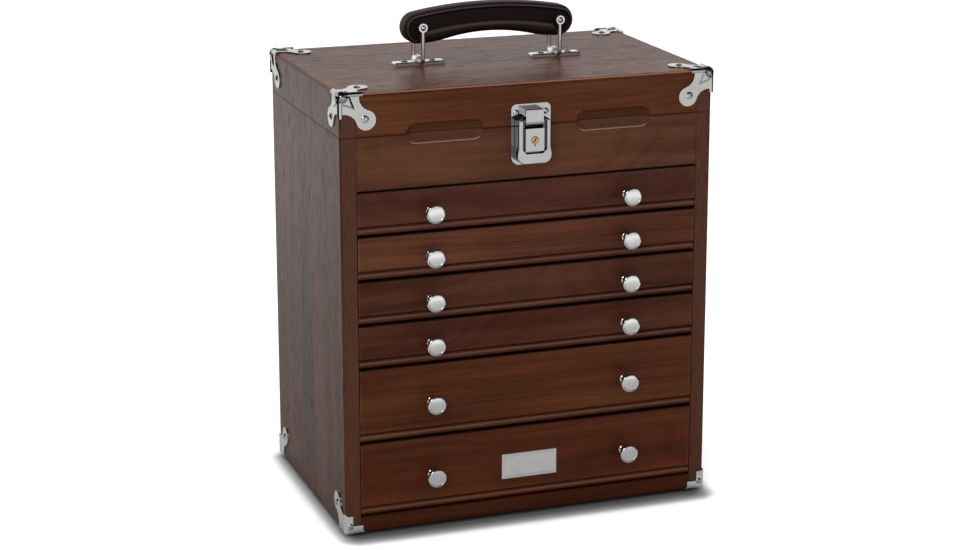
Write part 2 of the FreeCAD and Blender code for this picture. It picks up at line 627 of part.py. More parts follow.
def stepped_arm(start, root):
    """Two straight legs that end in hollow cusps."""
    cusp = "cusp_height"
    notch = "(step_width + step_hollow)"
    return [(start, start), (root, start), (root, "0"), ("step_reach", cusp, cusp, -1),
            ("step_reach", "step_width"), (notch, "step_width"),
            ("step_width", notch, "step_hollow", -1), ("step_width", "step_reach"),
            (cusp, "step_reach"), ("0", root, cusp, -1), (start, root)]


def flap(start, root):
    """Triangle under the case."""
    return [(start, start), (root, start), (root, "0"), ("0", root), (start, root)]


def corner_body(label):
    """Empty body and the plane that its blocks are placed from."""
    body = new_body(label)
    return body, next(item for item in body.Origin.OriginFeatures if item.Role == "XY_Plane")


def block(body, kind, base, **expressions):
    """Additive or subtractive solid placed from a body's plane."""
    made = body.newObject("PartDesign::" + kind, f"{body.Name}_{kind.lower()}")
    made.AttachmentSupport = [(base, "")]
    made.MapMode = "FlatFace"
    bind(made, **expressions)
    return made


def set_corner(body, octant, point):
    """Turn a finished corner into its octant and move it to its point."""
    sx, sy, sz = octant
    if sx * sy * sz > 0:
        turned = Rotation(Vector(sx, 0, 0), Vector(0, sy, 0), Vector(0, 0, sz), "ZXY")
    else:
        turned = Rotation(Vector(0, sy, 0), Vector(sx, 0, 0), Vector(0, 0, sz), "ZXY")
    place(body, point, turned)
    return node(body, body.Name)


def pressed_corner(label, octant, point):
    """Ball with three darts, three rolled edges and three lobed arms, hollow where the wood is."""
    body, base = corner_body(label)
    ball = block(body, "AdditiveSphere", base, Radius="ball_radius")
    for axis in "xyz":
        ball.setExpression(f"AttachmentOffset.Base.{axis}", cells("ball_inset"))
    for role in PLANES:
        away = "-ball_inset" if role == "XZ_Plane" else "ball_inset"
        round_edge = circle(sketch(body, role, z=away), "roll_inset", "roll_inset", "roll_radius")
        feature(body, "Pad", round_edge, Length="roll_length - ball_inset", Reversed=(role == "XZ_Plane"))
    for role in PLANES:
        arm = outline(sketch(body, role), *lobed_arm(size("roll_inset")))
        feature(body, "Pad", arm, Length="corner_gauge", Reversed=OUTWARD_IS_BACK[role])
        face = sketch(body, role, z="-corner_gauge" if OUTWARD_IS_BACK[role] else "corner_gauge")
        dart = outline(face, ("roll_inset", "roll_inset"), ("dart_root", "roll_inset"),
                       ("dart_tip", "dart_tip"), ("roll_inset", "dart_root"))
        feature(body, "Pad", dart, Length="dart_rise", TaperAngle="-dart_slope",
                Reversed=OUTWARD_IS_BACK[role])
    side = "2 * lobe_inset"
    block(body, "SubtractiveBox", base, Length=side, Width=side, Height=side)
    return set_corner(body, octant, point)


def bent_corner(label, octant, point, arms):
    """Sheet bent round three edges, its plates trimmed to the arms' outlines."""
    body, base = corner_body(label)
    side = "2 * lobe_inset"
    sheet_block = block(body, "AdditiveBox", base, Length=side, Width=side, Height=side)
    for axis in "xyz":
        sheet_block.setExpression(f"AttachmentOffset.Base.{axis}", cells("-corner_gauge"))
    outer = -size("corner_gauge")
    soften(body, "Fillet", "bend_radius",
           lambda b: sum(near(low, outer) and near(high, outer) for low, high in
                         ((b.XMin, b.XMax), (b.YMin, b.YMax), (b.ZMin, b.ZMax))) == 2)
    block(body, "SubtractiveBox", base, Length=side, Width=side, Height=side)
    for role in PLANES:
        waste = sketch(body, role)
        rectangle(waste, "-4 * corner_gauge", "-4 * corner_gauge", "3 * lobe_inset", "3 * lobe_inset")
        outline(waste, *arms[role])
        feature(body, "Pocket", waste, Length="2 * corner_gauge", Reversed=not OUTWARD_IS_BACK[role])
    return set_corner(body, octant, point)


BEYOND = "(-2 * corner_gauge)"
SIDE_ARM = lobed_arm(size(BEYOND))
EDGE_ROOT = "(waist_inset - sqrt(waist_radius ^ 2 - (waist_offset + corner_gauge) ^ 2))"
END_ARM = stepped_arm(BEYOND, EDGE_ROOT)
UNDER_ARM = flap(BEYOND, EDGE_ROOT)
lid_screws = []
case_screws = []
for side, side_name in ((LEFT, "left"), (RIGHT, "right")):
    for end_y, end_name, outward in ((FRONT, "front", -1), (BACK, "rear", 1)):
        wood_x = f"{side} * {SIDE}"
        outside_x = f"{side} * ({SIDE} + corner_gauge)"
        outside_y = f"{end_y} + {outward} * corner_gauge"
        screw_x = f"{side} * ({SIDE} - lobe_screw)"
        screw_y = f"({end_y} - {outward} * lobe_screw)"
        pressed_corner(f"corner_top_{end_name}_{side_name}", (-side, -outward, -1), (wood_x, end_y, LID_TOP))
        low = f"{LID_TOP} - lobe_screw"
        lid_screws.append(screw((screw_x, screw_y, f"{LID_TOP} + corner_gauge"), (0, 0, 1), "large_screw"))
        lid_screws.append(screw((screw_x, outside_y, low), (0, outward, 0), "large_screw"))
        lid_screws.append(screw((outside_x, screw_y, low), (side, 0, 0), "large_screw"))
        swapped = side * outward < 0
        bent_corner(f"corner_bottom_{end_name}_{side_name}", (-side, -outward, 1),
                    (wood_x, end_y, "foot_height"),
                    {"XY_Plane": UNDER_ARM, "XZ_Plane": SIDE_ARM if swapped else END_ARM,
                     "YZ_Plane": END_ARM if swapped else SIDE_ARM})
        case_screws.append(screw((outside_x, screw_y, "foot_height + lobe_screw"), (side, 0, 0),
                                 "large_screw"))
        case_screws.append(screw((f"{side} * ({SIDE} - step_screw_inset)", outside_y,
                                  "foot_height + step_screw_lift"), (0, outward, 0)))

# Back hinges: two leaves with interleaved knuckles on one pin.

KNUCKLE_COUNT = 5
KNUCKLE = f"((hinge_width - {KNUCKLE_COUNT - 1} * knuckle_gap) / {KNUCKLE_COUNT})"


def hinge_leaf(name, centre, upward, turns):
    """Leaf plate above or below the pin, with the knuckles that turn on it."""
    start = f"({centre} - hinge_width / 2)"
    clear = "(knuckle_radius + open_clearance)"
    low = f"{HINGE_Z} + {clear}" if upward else f"{HINGE_Z} - hinge_leaf"
    parts = [box(name + "_plate", (start, BACK, low),
                 ("hinge_width", "hinge_gauge", f"hinge_leaf - {clear}"))]
    for k in turns:
        knuckle_x = f"({start} + {k} * ({KNUCKLE} + knuckle_gap))"
        tab_z = HINGE_Z if upward else f"{HINGE_Z} - {clear}"
        parts.append(box(name + "_tab", (knuckle_x, f"{BACK} + hinge_standoff", tab_z),
                         (KNUCKLE, "hinge_gauge - hinge_standoff", clear)))
        parts.append(rod(name + "_knuckle", (knuckle_x, HINGE_Y, HINGE_Z), (1, 0, 0),
                         "knuckle_radius", KNUCKLE))
    bore = rod(name + "_bore", (start, HINGE_Y, HINGE_Z), (1, 0, 0),
               "hinge_pin_radius + running_clearance", "hinge_width")
    return cut(name, fuse(name + "_blank", parts), bore)


case_leaves = []
lid_leaves = []
for side in (LEFT, RIGHT):
    centre = f"({side} * hinge_offset)"
    case_leaves.append(hinge_leaf("case_leaf", centre, False, (0, 2, 4)))
    case_leaves.append(rod("hinge_pin", (f"{centre} - hinge_width / 2", HINGE_Y, HINGE_Z), (1, 0, 0),
                           "hinge_pin_radius", "hinge_width"))
    lid_leaves.append(hinge_leaf("lid_leaf", centre, True, (1, 3)))
    for step in (-1, 0, 1):
        screw_x = f"{centre} + {step} * hinge_width / 3"
        rise = f"(hinge_leaf + knuckle_radius) / 2 + {abs(step)} * hinge_screw_stagger"
        case_screws.append(screw((screw_x, f"{BACK} + hinge_gauge", f"{HINGE_Z} - {rise}"), (0, 1, 0)))
        lid_screws.append(screw((screw_x, f"{BACK} + hinge_gauge", f"{HINGE_Z} + {rise}"), (0, 1, 0)))
group("hinge_case_leaves", case_leaves)
group("hinge_lid_leaves", lid_leaves)

# Latch: strike plate with a boss on the lid, lower plate with a hook on the
# case, a hasp that turns on a pin through the boss, and a lock in the hasp.

PIN_Y = f"({FRONT} - hasp_pin_reach)"
PLATE_FACE = f"({FRONT} - latch_gauge)"
HALF_LATCH = "latch_width / 2"

strike = new_body("strike_plate")
strike_drawing = sketch(strike, "XZ_Plane", z=f"-{FRONT}")
outline(strike_drawing, (f"-{HALF_LATCH}", "strike_bottom"), (HALF_LATCH, "strike_bottom"),
        (HALF_LATCH, "strike_top - strike_corner"),
        (f"{HALF_LATCH} - strike_corner", "strike_top", "strike_corner", 1),
        (f"strike_corner - {HALF_LATCH}", "strike_top"),
        (f"-{HALF_LATCH}", "strike_top - strike_corner", "strike_corner", 1))
feature(strike, "Pad", strike_drawing, Length="latch_gauge")
boss_drawing = sketch(strike, "YZ_Plane")
BOSS_FRONT = f"({PIN_Y} - boss_radius)"
outline(boss_drawing, (FRONT, "strike_bottom"), (FRONT, "boss_top"),
        (f"{BOSS_FRONT} + boss_arris", "boss_top"),
        (BOSS_FRONT, "boss_top - boss_arris", "boss_arris", 1), (BOSS_FRONT, "hasp_pivot"),
        (PIN_Y, "hasp_pivot - boss_radius", "boss_radius", 1))
feature(strike, "Pad", boss_drawing, Length="boss_width", Midplane=True)
boss_bore = circle(sketch(strike, "YZ_Plane"), PIN_Y, "hasp_pivot", "hasp_pin_radius + running_clearance")
feature(strike, "Pocket", boss_bore, Length="2 * latch_width", Midplane=True)
node(strike, "strike_plate")
for side in (LEFT, RIGHT):
    lid_screws.append(screw((f"{side} * strike_screw_offset", PLATE_FACE, "strike_screw_height"),
                            (0, -1, 0)))

base_plate = new_body("latch_base_plate")
base_drawing = sketch(base_plate, "XZ_Plane", z=f"-{FRONT}")
outline(base_drawing, (f"-{HALF_LATCH}", "base_bottom + hasp_corner"),
        (f"hasp_corner - {HALF_LATCH}", "base_bottom", "hasp_corner", 1),
        (f"{HALF_LATCH} - hasp_corner", "base_bottom"),
        (HALF_LATCH, "base_bottom + hasp_corner", "hasp_corner", 1),
        (HALF_LATCH, "base_top"), (f"-{HALF_LATCH}", "base_top"))
feature(base_plate, "Pad", base_drawing, Length="latch_gauge")
hook_drawing = sketch(base_plate, "YZ_Plane")
outline(hook_drawing, (FRONT, "staple_bottom"), (FRONT, "staple_bottom + staple_gauge"),
        (f"{FRONT} - staple_reach + staple_gauge", "staple_bottom + staple_gauge"),
        (f"{FRONT} - staple_reach + staple_gauge", "staple_top"),
        (f"{FRONT} - staple_reach", "staple_top"),
        (f"{FRONT} - staple_reach", "staple_bottom"))
feature(base_plate, "Pad", hook_drawing, Length="staple_width", Midplane=True)
node(base_plate, "latch_base_plate")
for side in (LEFT, RIGHT):
    case_screws.append(screw((f"{side} * base_screw_offset", PLATE_FACE, "base_screw_height"),
                             (0, -1, 0)))

hasp = new_body("hasp")
HALF_HASP = "hasp_width / 2"
HALF_GRIP = "hasp_grip_width / 2"
HALF_SLOT = "hasp_slot_width / 2"
HALF_LOCK = "lock_plate_width / 2"
BAR_TOP = "(hasp_pivot + hasp_front - hasp_pin_reach)"
BAR_SHOULDER = f"({BAR_TOP} - hasp_shoulder)"
hasp_drawing = sketch(hasp, "XZ_Plane", z=f"hasp_back - {FRONT}")
outline(hasp_drawing, (f"-{HALF_GRIP}", "hasp_bottom + hasp_corner"),
        (f"hasp_corner - {HALF_GRIP}", "hasp_bottom", "hasp_corner", 1),
        (f"{HALF_GRIP} - hasp_corner", "hasp_bottom"),
        (HALF_GRIP, "hasp_bottom + hasp_corner", "hasp_corner", 1), (HALF_GRIP, "hasp_neck - hasp_flare"),
        (HALF_HASP, "hasp_neck"), (HALF_HASP, BAR_SHOULDER), (HALF_SLOT, BAR_TOP),
        (HALF_SLOT, "lock_plate_top"), (f"-{HALF_SLOT}", "lock_plate_top"),
        (f"-{HALF_SLOT}", BAR_TOP), (f"-{HALF_HASP}", BAR_SHOULDER), (f"-{HALF_HASP}", "hasp_neck"),
        (f"-{HALF_GRIP}", "hasp_neck - hasp_flare"))
feature(hasp, "Pad", hasp_drawing, Length="hasp_front - hasp_back")
hasp_face, bar_side = size(f"{FRONT} - hasp_front"), size(HALF_SLOT)
soften(hasp, "Fillet", "hasp_arris",
       lambda b: near(b.YMin, hasp_face) and near(b.YLength, 0) and b.ZMax < size(BAR_SHOULDER) + 0.01
       and (b.XMax < -bar_side - 0.01 or b.XMin > bar_side + 0.01 or b.ZMax < size("lock_plate_bottom")))
HALF_GROOVE = f"({HALF_LOCK} + hasp_groove)"
GROOVE_FOOT = "(lock_plate_bottom - hasp_groove_foot)"
groove_drawing = sketch(hasp, "XZ_Plane", z=f"hasp_front - {FRONT}")
outline(groove_drawing, (f"-{HALF_GROOVE}", f"{GROOVE_FOOT} + hasp_groove_corner"),
        (f"hasp_groove_corner - {HALF_GROOVE}", GROOVE_FOOT),
        (f"{HALF_GROOVE} - hasp_groove_corner", GROOVE_FOOT),
        (HALF_GROOVE, f"{GROOVE_FOOT} + hasp_groove_corner"), (HALF_GROOVE, BAR_SHOULDER),
        (HALF_LOCK, BAR_SHOULDER), (HALF_LOCK, "lock_plate_bottom"), (f"-{HALF_LOCK}", "lock_plate_bottom"),
        (f"-{HALF_LOCK}", BAR_SHOULDER), (f"-{HALF_GROOVE}", BAR_SHOULDER))
feature(hasp, "Pocket", groove_drawing, Length="hasp_groove_depth")
hollow_drawing = sketch(hasp, "XZ_Plane", z=f"hasp_back - {FRONT}")
HOLLOW_SIDE, HOLLOW_FOOT = f"({HALF_HASP} - hasp_wall)", "hasp_bottom + hasp_wall"
HOLLOW_CORNER = "(hasp_corner - hasp_wall)"
outline(hollow_drawing, (f"-{HOLLOW_SIDE}", "hasp_bottom + hasp_corner"),
        (f"hasp_corner - {HALF_GRIP}", HOLLOW_FOOT, HOLLOW_CORNER, 1),
        (f"{HALF_GRIP} - hasp_corner", HOLLOW_FOOT),
        (HOLLOW_SIDE, "hasp_bottom + hasp_corner", HOLLOW_CORNER, 1),
        (HOLLOW_SIDE, "lock_plate_top - hasp_wall"),
        (f"-{HOLLOW_SIDE}", "lock_plate_top - hasp_wall"))
feature(hasp, "Pocket", hollow_drawing, Length="hasp_hollow", Reversed=True)
notch_drawing = sketch(hasp, "XZ_Plane", z=f"hasp_back - {FRONT}")
rectangle(notch_drawing, "-staple_notch / 2", "hasp_bottom - hasp_wall",
          "staple_notch / 2", "hasp_bottom + 2 * hasp_wall")
feature(hasp, "Pocket", notch_drawing, Length="hasp_hollow", Reversed=True)
round_drawing = sketch(hasp, "YZ_Plane")
HASP_ROUND = "(hasp_front - hasp_pin_reach)"
CUT_FRONT, CUT_BACK = f"({PIN_Y} - 2 * {HASP_ROUND})", f"({PIN_Y} + 2 * {HASP_ROUND})"
CUT_TOP = f"({BAR_TOP} + {HASP_ROUND})"
outline(round_drawing, (CUT_FRONT, "hasp_pivot"), (f"{PIN_Y} - {HASP_ROUND}", "hasp_pivot"),
        (PIN_Y, BAR_TOP, HASP_ROUND, -1), (f"{PIN_Y} + {HASP_ROUND}", "hasp_pivot", HASP_ROUND, -1),
        (CUT_BACK, "hasp_pivot"), (CUT_BACK, CUT_TOP), (CUT_FRONT, CUT_TOP))
feature(hasp, "Pocket", round_drawing, Length="2 * latch_width", Midplane=True)
lock_bore = circle(sketch(hasp, "XZ_Plane", z=f"hasp_front - {FRONT}"), "0", "lock_height",
                   "lock_radius + running_clearance")
feature(hasp, "Pocket", lock_bore, Length="hasp_front - hasp_back")
pin_hole = circle(sketch(hasp, "XZ_Plane", z=f"hasp_front - {FRONT}"), "0", "lock_height - pin_hole_drop",
                  "pin_hole_radius")
feature(hasp, "Pocket", pin_hole, Length="pin_hole_depth")
pin_drawing = circle(sketch(hasp, "YZ_Plane"), PIN_Y, "hasp_pivot", "hasp_pin_radius")
feature(hasp, "Pad", pin_drawing, Length="hasp_width - hasp_wall", Midplane=True)
node(hasp, "hasp")

lock = new_body("lock_cylinder")
plug_drawing = circle(sketch(lock, "XZ_Plane", z=f"cam_front - cam_thickness - {FRONT}"), "0", "lock_height",
                      "lock_radius")
feature(lock, "Pad", plug_drawing, Length="hasp_front + lock_proud - cam_front + cam_thickness")
cam_drawing = sketch(lock, "XZ_Plane", z=f"cam_front - cam_thickness - {FRONT}")
rectangle(cam_drawing, "0", "lock_height - cam_width / 2", "cam_length", "lock_height + cam_width / 2")
feature(lock, "Pad", cam_drawing, Length="cam_thickness")
keyway_drawing = sketch(lock, "XZ_Plane", y="lock_height", z=f"hasp_front + lock_proud - {FRONT}")
keyway_drawing.setExpression("AttachmentOffset.Rotation.Angle", cells("-keyway_lean"))
rectangle(keyway_drawing, "-keyway_width / 2", "-keyway_length / 2", "keyway_width / 2", "keyway_length / 2")
feature(lock, "Pocket", keyway_drawing, Length="keyway_depth")
node(lock, "lock_cylinder")

# Carrying handle: saddles on the lid, two bails that turn in them, and a grip.

saddles = []
for side in (LEFT, RIGHT):
    centre = f"({side} * bail_offset)"
    pivot_z = f"({LID_TOP} + bail_pivot)"
    plate_body = new_body("saddle_plate")
    saddle_drawing = sketch(plate_body, "XY_Plane", z=LID_TOP)
    rectangle(saddle_drawing, f"{centre} - saddle_length / 2", f"{MIDDLE} - saddle_width / 2",
              f"{centre} + saddle_length / 2", f"{MIDDLE} + saddle_width / 2")
    feature(plate_body, "Pad", saddle_drawing, Length="saddle_gauge")
    saddle_top = size(f"{LID_TOP} + saddle_gauge")
    soften(plate_body, "Chamfer", "saddle_bevel", lambda b: near(b.ZMin, saddle_top))
    hump = fuse("saddle_blank", [
        plate_body,
        rod("saddle_hump", (centre, f"{MIDDLE} - saddle_width / 2 + saddle_bevel", pivot_z), (0, 1, 0),
            "saddle_hump", "saddle_width - 2 * saddle_bevel"),
    ])
    below = box("saddle_below",
                (f"{centre} - saddle_length", f"{MIDDLE} - saddle_width", f"{LID_TOP} - saddle_width"),
                ("2 * saddle_length", "2 * saddle_width", "saddle_width"))
    bore = rod("saddle_bore", (centre, f"{MIDDLE} - saddle_width", pivot_z), (0, 1, 0),
               "bail_radius + running_clearance", "2 * saddle_width")
    saddles.append(cut("saddle", cut("saddle_flat", hump, below), bore))
    for step in (-1, 1):
        lid_screws.append(screw((f"{centre} + {step} * saddle_screw", MIDDLE, f"{LID_TOP} + saddle_gauge"),
                                (0, 0, 1), "large_screw"))
group("handle_saddles", saddles)


def bail(label, side):
    """Bent rod with an eye at the top of each arm, and the pin through the grip."""
    centre = f"{side} * bail_offset"
    pivot_z = f"({LID_TOP} + bail_pivot)"
    eye_z = f"({pivot_z} + bail_length)"
    body = new_body(label + "_rod")
    profile = circle(sketch(body, "XY_Plane", z="bail_length"), "0", "-bail_half_span", "bail_radius")
    path = sketch(body, "YZ_Plane")
    inner = "(bail_half_span - bail_bend)"
    path_points = [("-bail_half_span", "bail_length"), ("-bail_half_span", "bail_bend"), (f"-{inner}", "0"),
                   (inner, "0"), ("bail_half_span", "bail_bend"), ("bail_half_span", "bail_length")]
    corners = [Vector(size(y), size(z), 0) for y, z in path_points]
    path.addGeometry(Part.LineSegment(corners[0], corners[1]))
    path.addGeometry(arc_between(corners[1], corners[2], size("bail_bend"), 1))
    path.addGeometry(Part.LineSegment(corners[2], corners[3]))
    path.addGeometry(arc_between(corners[3], corners[4], size("bail_bend"), 1))
    path.addGeometry(Part.LineSegment(corners[4], corners[5]))
    for index in range(4):
        path.addConstraint(Constraint("Coincident", index, 2, index + 1, 1))
    for index in range(5):
        fix(path, "DistanceX", (-1, 1, index, 1), path_points[index][0])
        fix(path, "DistanceY", (-1, 1, index, 1), path_points[index][1])
    fix(path, "DistanceX", (-1, 1, 4, 2), path_points[5][0])
    fix(path, "DistanceY", (-1, 1, 4, 2), path_points[5][1])
    fix(path, "Radius", (1,), "bail_bend")
    fix(path, "Radius", (3,), "bail_bend")
    pipe = feature(body, "AdditivePipe", profile)
    pipe.Spine = path
    path.Visibility = False
    for side_y in (-1, 1):
        start = f"-{side_y} * bail_half_span - eye_thickness / 2"
        eye = circle(sketch(body, "XZ_Plane", z=start), "0", "bail_length", "eye_radius")
        feature(body, "Pad", eye, Length="eye_thickness")
    hole = circle(sketch(body, "XZ_Plane", z="-2 * bail_half_span"), "0", "bail_length", "rivet_radius")
    feature(body, "Pocket", hole, Length="4 * bail_half_span", Reversed=True)
    place(body, (centre, MIDDLE, pivot_z))
    pin = new_body(label + "_pin")
    half = "(bail_half_span + eye_thickness / 2)"
    head_radius = "((rivet_head_radius ^ 2 + rivet_head_height ^ 2) / (2 * rivet_head_height))"
    drawing = outline(sketch(pin, "YZ_Plane"), (f"-{half} - rivet_head_height", "0"),
                      (f"-{half}", "rivet_head_radius", head_radius, -1), (f"-{half}", "rivet_radius"),
                      (half, "rivet_radius"), (half, "rivet_head_radius"),
                      (f"{half} + rivet_head_height", "0", head_radius, -1))
    feature(pin, "Revolution", drawing, ReferenceAxis=(drawing, ["H_Axis"]), Angle=360.0)
    place(pin, (centre, MIDDLE, eye_z))
    return group(label, [body, pin])


bail("bail_left", LEFT)
bail("bail_right", RIGHT)

grip = new_body("grip")
grip_drawing = sketch(grip, "XZ_Plane", z=f"-{MIDDLE}")
GRIP_TIP = "(grip_end + grip_end_radius)"
CROWN_RISE = "(grip_crown - grip_centre)"
CROWN_SPAN = f"(grip_end ^ 2 + {CROWN_RISE} ^ 2 - grip_end_radius ^ 2)"
TOP_ARC = f"({CROWN_SPAN} / (2 * ({CROWN_RISE} - grip_end_radius)))"
TOP_SHARE = f"(grip_end_radius / ({TOP_ARC} - grip_end_radius))"
TOP_X = f"(grip_end * (1 + {TOP_SHARE}))"
TOP_Z = f"(grip_centre + ({TOP_ARC} - {CROWN_RISE}) * {TOP_SHARE})"
GRIP_LOW = "(grip_centre - grip_end_radius)"
ARCH_RISE = f"(grip_underside - {GRIP_LOW})"
HEEL_TO_ARCH = f"((grip_end ^ 2 + {ARCH_RISE} ^ 2) / (2 * {ARCH_RISE}))"
HEEL_SHARE = f"(grip_heel / {HEEL_TO_ARCH})"
HEEL_X = f"(grip_end * (1 - {HEEL_SHARE}))"
HEEL_Z = f"({GRIP_LOW} + {ARCH_RISE} * {HEEL_SHARE})"
ARCH_ARC = f"({HEEL_TO_ARCH} - grip_heel)"
outline(grip_drawing, ("-grip_end", GRIP_LOW, "grip_end_radius", 1), (f"-{HEEL_X}", HEEL_Z, "grip_heel", 1),
        ("0", "grip_underside", ARCH_ARC, -1), (HEEL_X, HEEL_Z, ARCH_ARC, -1),
        ("grip_end", GRIP_LOW, "grip_heel", 1), (GRIP_TIP, "grip_centre", "grip_end_radius", 1),
        (TOP_X, TOP_Z, "grip_end_radius", 1), ("0", "grip_crown", TOP_ARC, 1),
        (f"-{TOP_X}", TOP_Z, TOP_ARC, 1), (f"-{GRIP_TIP}", "grip_centre", "grip_end_radius", 1))
feature(grip, "Pad", grip_drawing, Length="grip_depth", Midplane=True)
soften(grip, "Fillet", "grip_rounding", lambda b: near(b.YLength, 0))
for side, clearance in ((LEFT, "running_clearance"), (RIGHT, "open_clearance")):
    pin_bore = circle(sketch(grip, "XZ_Plane"), f"{side} * bail_offset",
                      f"{LID_TOP} + bail_pivot + bail_length", f"rivet_radius + {clearance}")
    feature(grip, "Pocket", pin_bore, Length="2 * case_depth", Midplane=True)
node(grip, "grip")

group("case_screws", case_screws)
group("lid_screws", lid_screws)

doc.recompute()
failed = [item.Label for item in doc.Objects if "Invalid" in item.State or "Error" in item.State]
if failed:
    raise RuntimeError(f"not built: {failed}")
for item in nodes:
    shape = item.Shape
    if shape.isNull() or not shape.isValid() or not shape.Solids:
        raise RuntimeError(f"bad shape: {item.Label}")

os.makedirs("parts", exist_ok=True)
for item in nodes:
    item.Shape.exportStep(f"parts/{item.Label}.step")
print(f"{len(nodes)} parts written")
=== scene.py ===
"""Looks of a walnut collectors drawer chest: lacquered wood, nickel fittings, felt and leather.

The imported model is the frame. Each operator dresses one piece or one group of
like pieces, and the last one sets up the studio. Lengths are in metres.
"""

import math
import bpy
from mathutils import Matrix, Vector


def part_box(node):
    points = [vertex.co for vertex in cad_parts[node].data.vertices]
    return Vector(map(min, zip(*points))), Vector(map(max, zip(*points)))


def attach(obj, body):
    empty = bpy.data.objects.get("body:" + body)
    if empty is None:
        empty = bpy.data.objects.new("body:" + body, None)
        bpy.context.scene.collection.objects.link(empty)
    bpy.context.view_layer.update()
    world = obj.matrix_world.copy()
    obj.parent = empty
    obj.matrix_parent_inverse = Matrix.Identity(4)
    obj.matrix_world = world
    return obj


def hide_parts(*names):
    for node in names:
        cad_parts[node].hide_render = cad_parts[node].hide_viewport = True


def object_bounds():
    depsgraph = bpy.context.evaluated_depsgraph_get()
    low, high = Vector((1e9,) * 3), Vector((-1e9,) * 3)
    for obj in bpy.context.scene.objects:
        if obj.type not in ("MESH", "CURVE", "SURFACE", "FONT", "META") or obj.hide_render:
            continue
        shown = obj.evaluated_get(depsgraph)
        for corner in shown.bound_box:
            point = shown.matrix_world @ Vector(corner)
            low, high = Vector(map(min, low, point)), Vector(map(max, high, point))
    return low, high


bl_info = {
    "name": "Collectors drawer chest",
    "version": (1, 0, 0),
    "blender": (4, 5, 0),
    "location": "3D View > Sidebar > Chest",
    "description": "Dresses the drawer chest and sets up its studio",
    "category": "Object",
}

import bmesh
import bpy
import numpy as np
from mathutils import Matrix, Vector

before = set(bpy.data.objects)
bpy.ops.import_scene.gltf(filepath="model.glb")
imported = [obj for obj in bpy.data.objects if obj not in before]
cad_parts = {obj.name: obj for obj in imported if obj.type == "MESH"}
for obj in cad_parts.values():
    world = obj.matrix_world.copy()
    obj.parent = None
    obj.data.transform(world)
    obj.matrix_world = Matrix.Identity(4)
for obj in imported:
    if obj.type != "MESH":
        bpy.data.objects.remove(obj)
CAD_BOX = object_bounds()

# The wooden chest without its fittings, and the axes of hinges and lock.
LEFT, FRONT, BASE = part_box("side_left")[0]
RIGHT, BACK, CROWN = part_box("lid_top")[1]
MIDDLE = (FRONT + BACK) / 2
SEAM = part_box("tray_front")[1][2]
HINGE_AXIS_Z = (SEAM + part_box("lid_front_rail")[0][2]) / 2
LOCK_AXIS_Z = (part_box("lock_cylinder")[0][2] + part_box("lock_cylinder")[1][2]) / 2
SHEET = 0.0012  # thickness of the fittings under a screw's head
DRAWERS = range(1, 7)


# Shader building: fields are numbers or colours that vary over a surface.

class Field:
    """A shader socket; Python's operators on it add Math nodes."""

    def __init__(self, finish, socket):
        self.finish = finish
        self.socket = socket

    def _math(self, operation, *values):
        inputs = dict(enumerate(values))
        return self.finish.add("ShaderNodeMath", {"operation": operation}, inputs)

    def __add__(self, other):
        return self._math("ADD", self, other)

    def __radd__(self, other):
        return self._math("ADD", other, self)

    def __sub__(self, other):
        return self._math("SUBTRACT", self, other)

    def __rsub__(self, other):
        return self._math("SUBTRACT", other, self)

    def __mul__(self, other):
        return self._math("MULTIPLY", self, other)

    def __rmul__(self, other):
        return self._math("MULTIPLY", other, self)

    def __truediv__(self, other):
        return self._math("DIVIDE", self, other)

    def __pow__(self, other):
        return self._math("POWER", self, other)

    def fraction(self):
        return self._math("FRACT", self)

    def clamp(self):
        return self.most(0.0).least(1.0)

    def least(self, other):
        return self._math("MINIMUM", self, other)

    def most(self, other):
        return self._math("MAXIMUM", self, other)

    def between(self, low, high):
        """0 below low, 1 above high, smooth in between."""
        return self.finish.add("ShaderNodeMapRange", {"interpolation_type": "SMOOTHSTEP"},
                               {"Value": self, "From Min": low, "From Max": high})


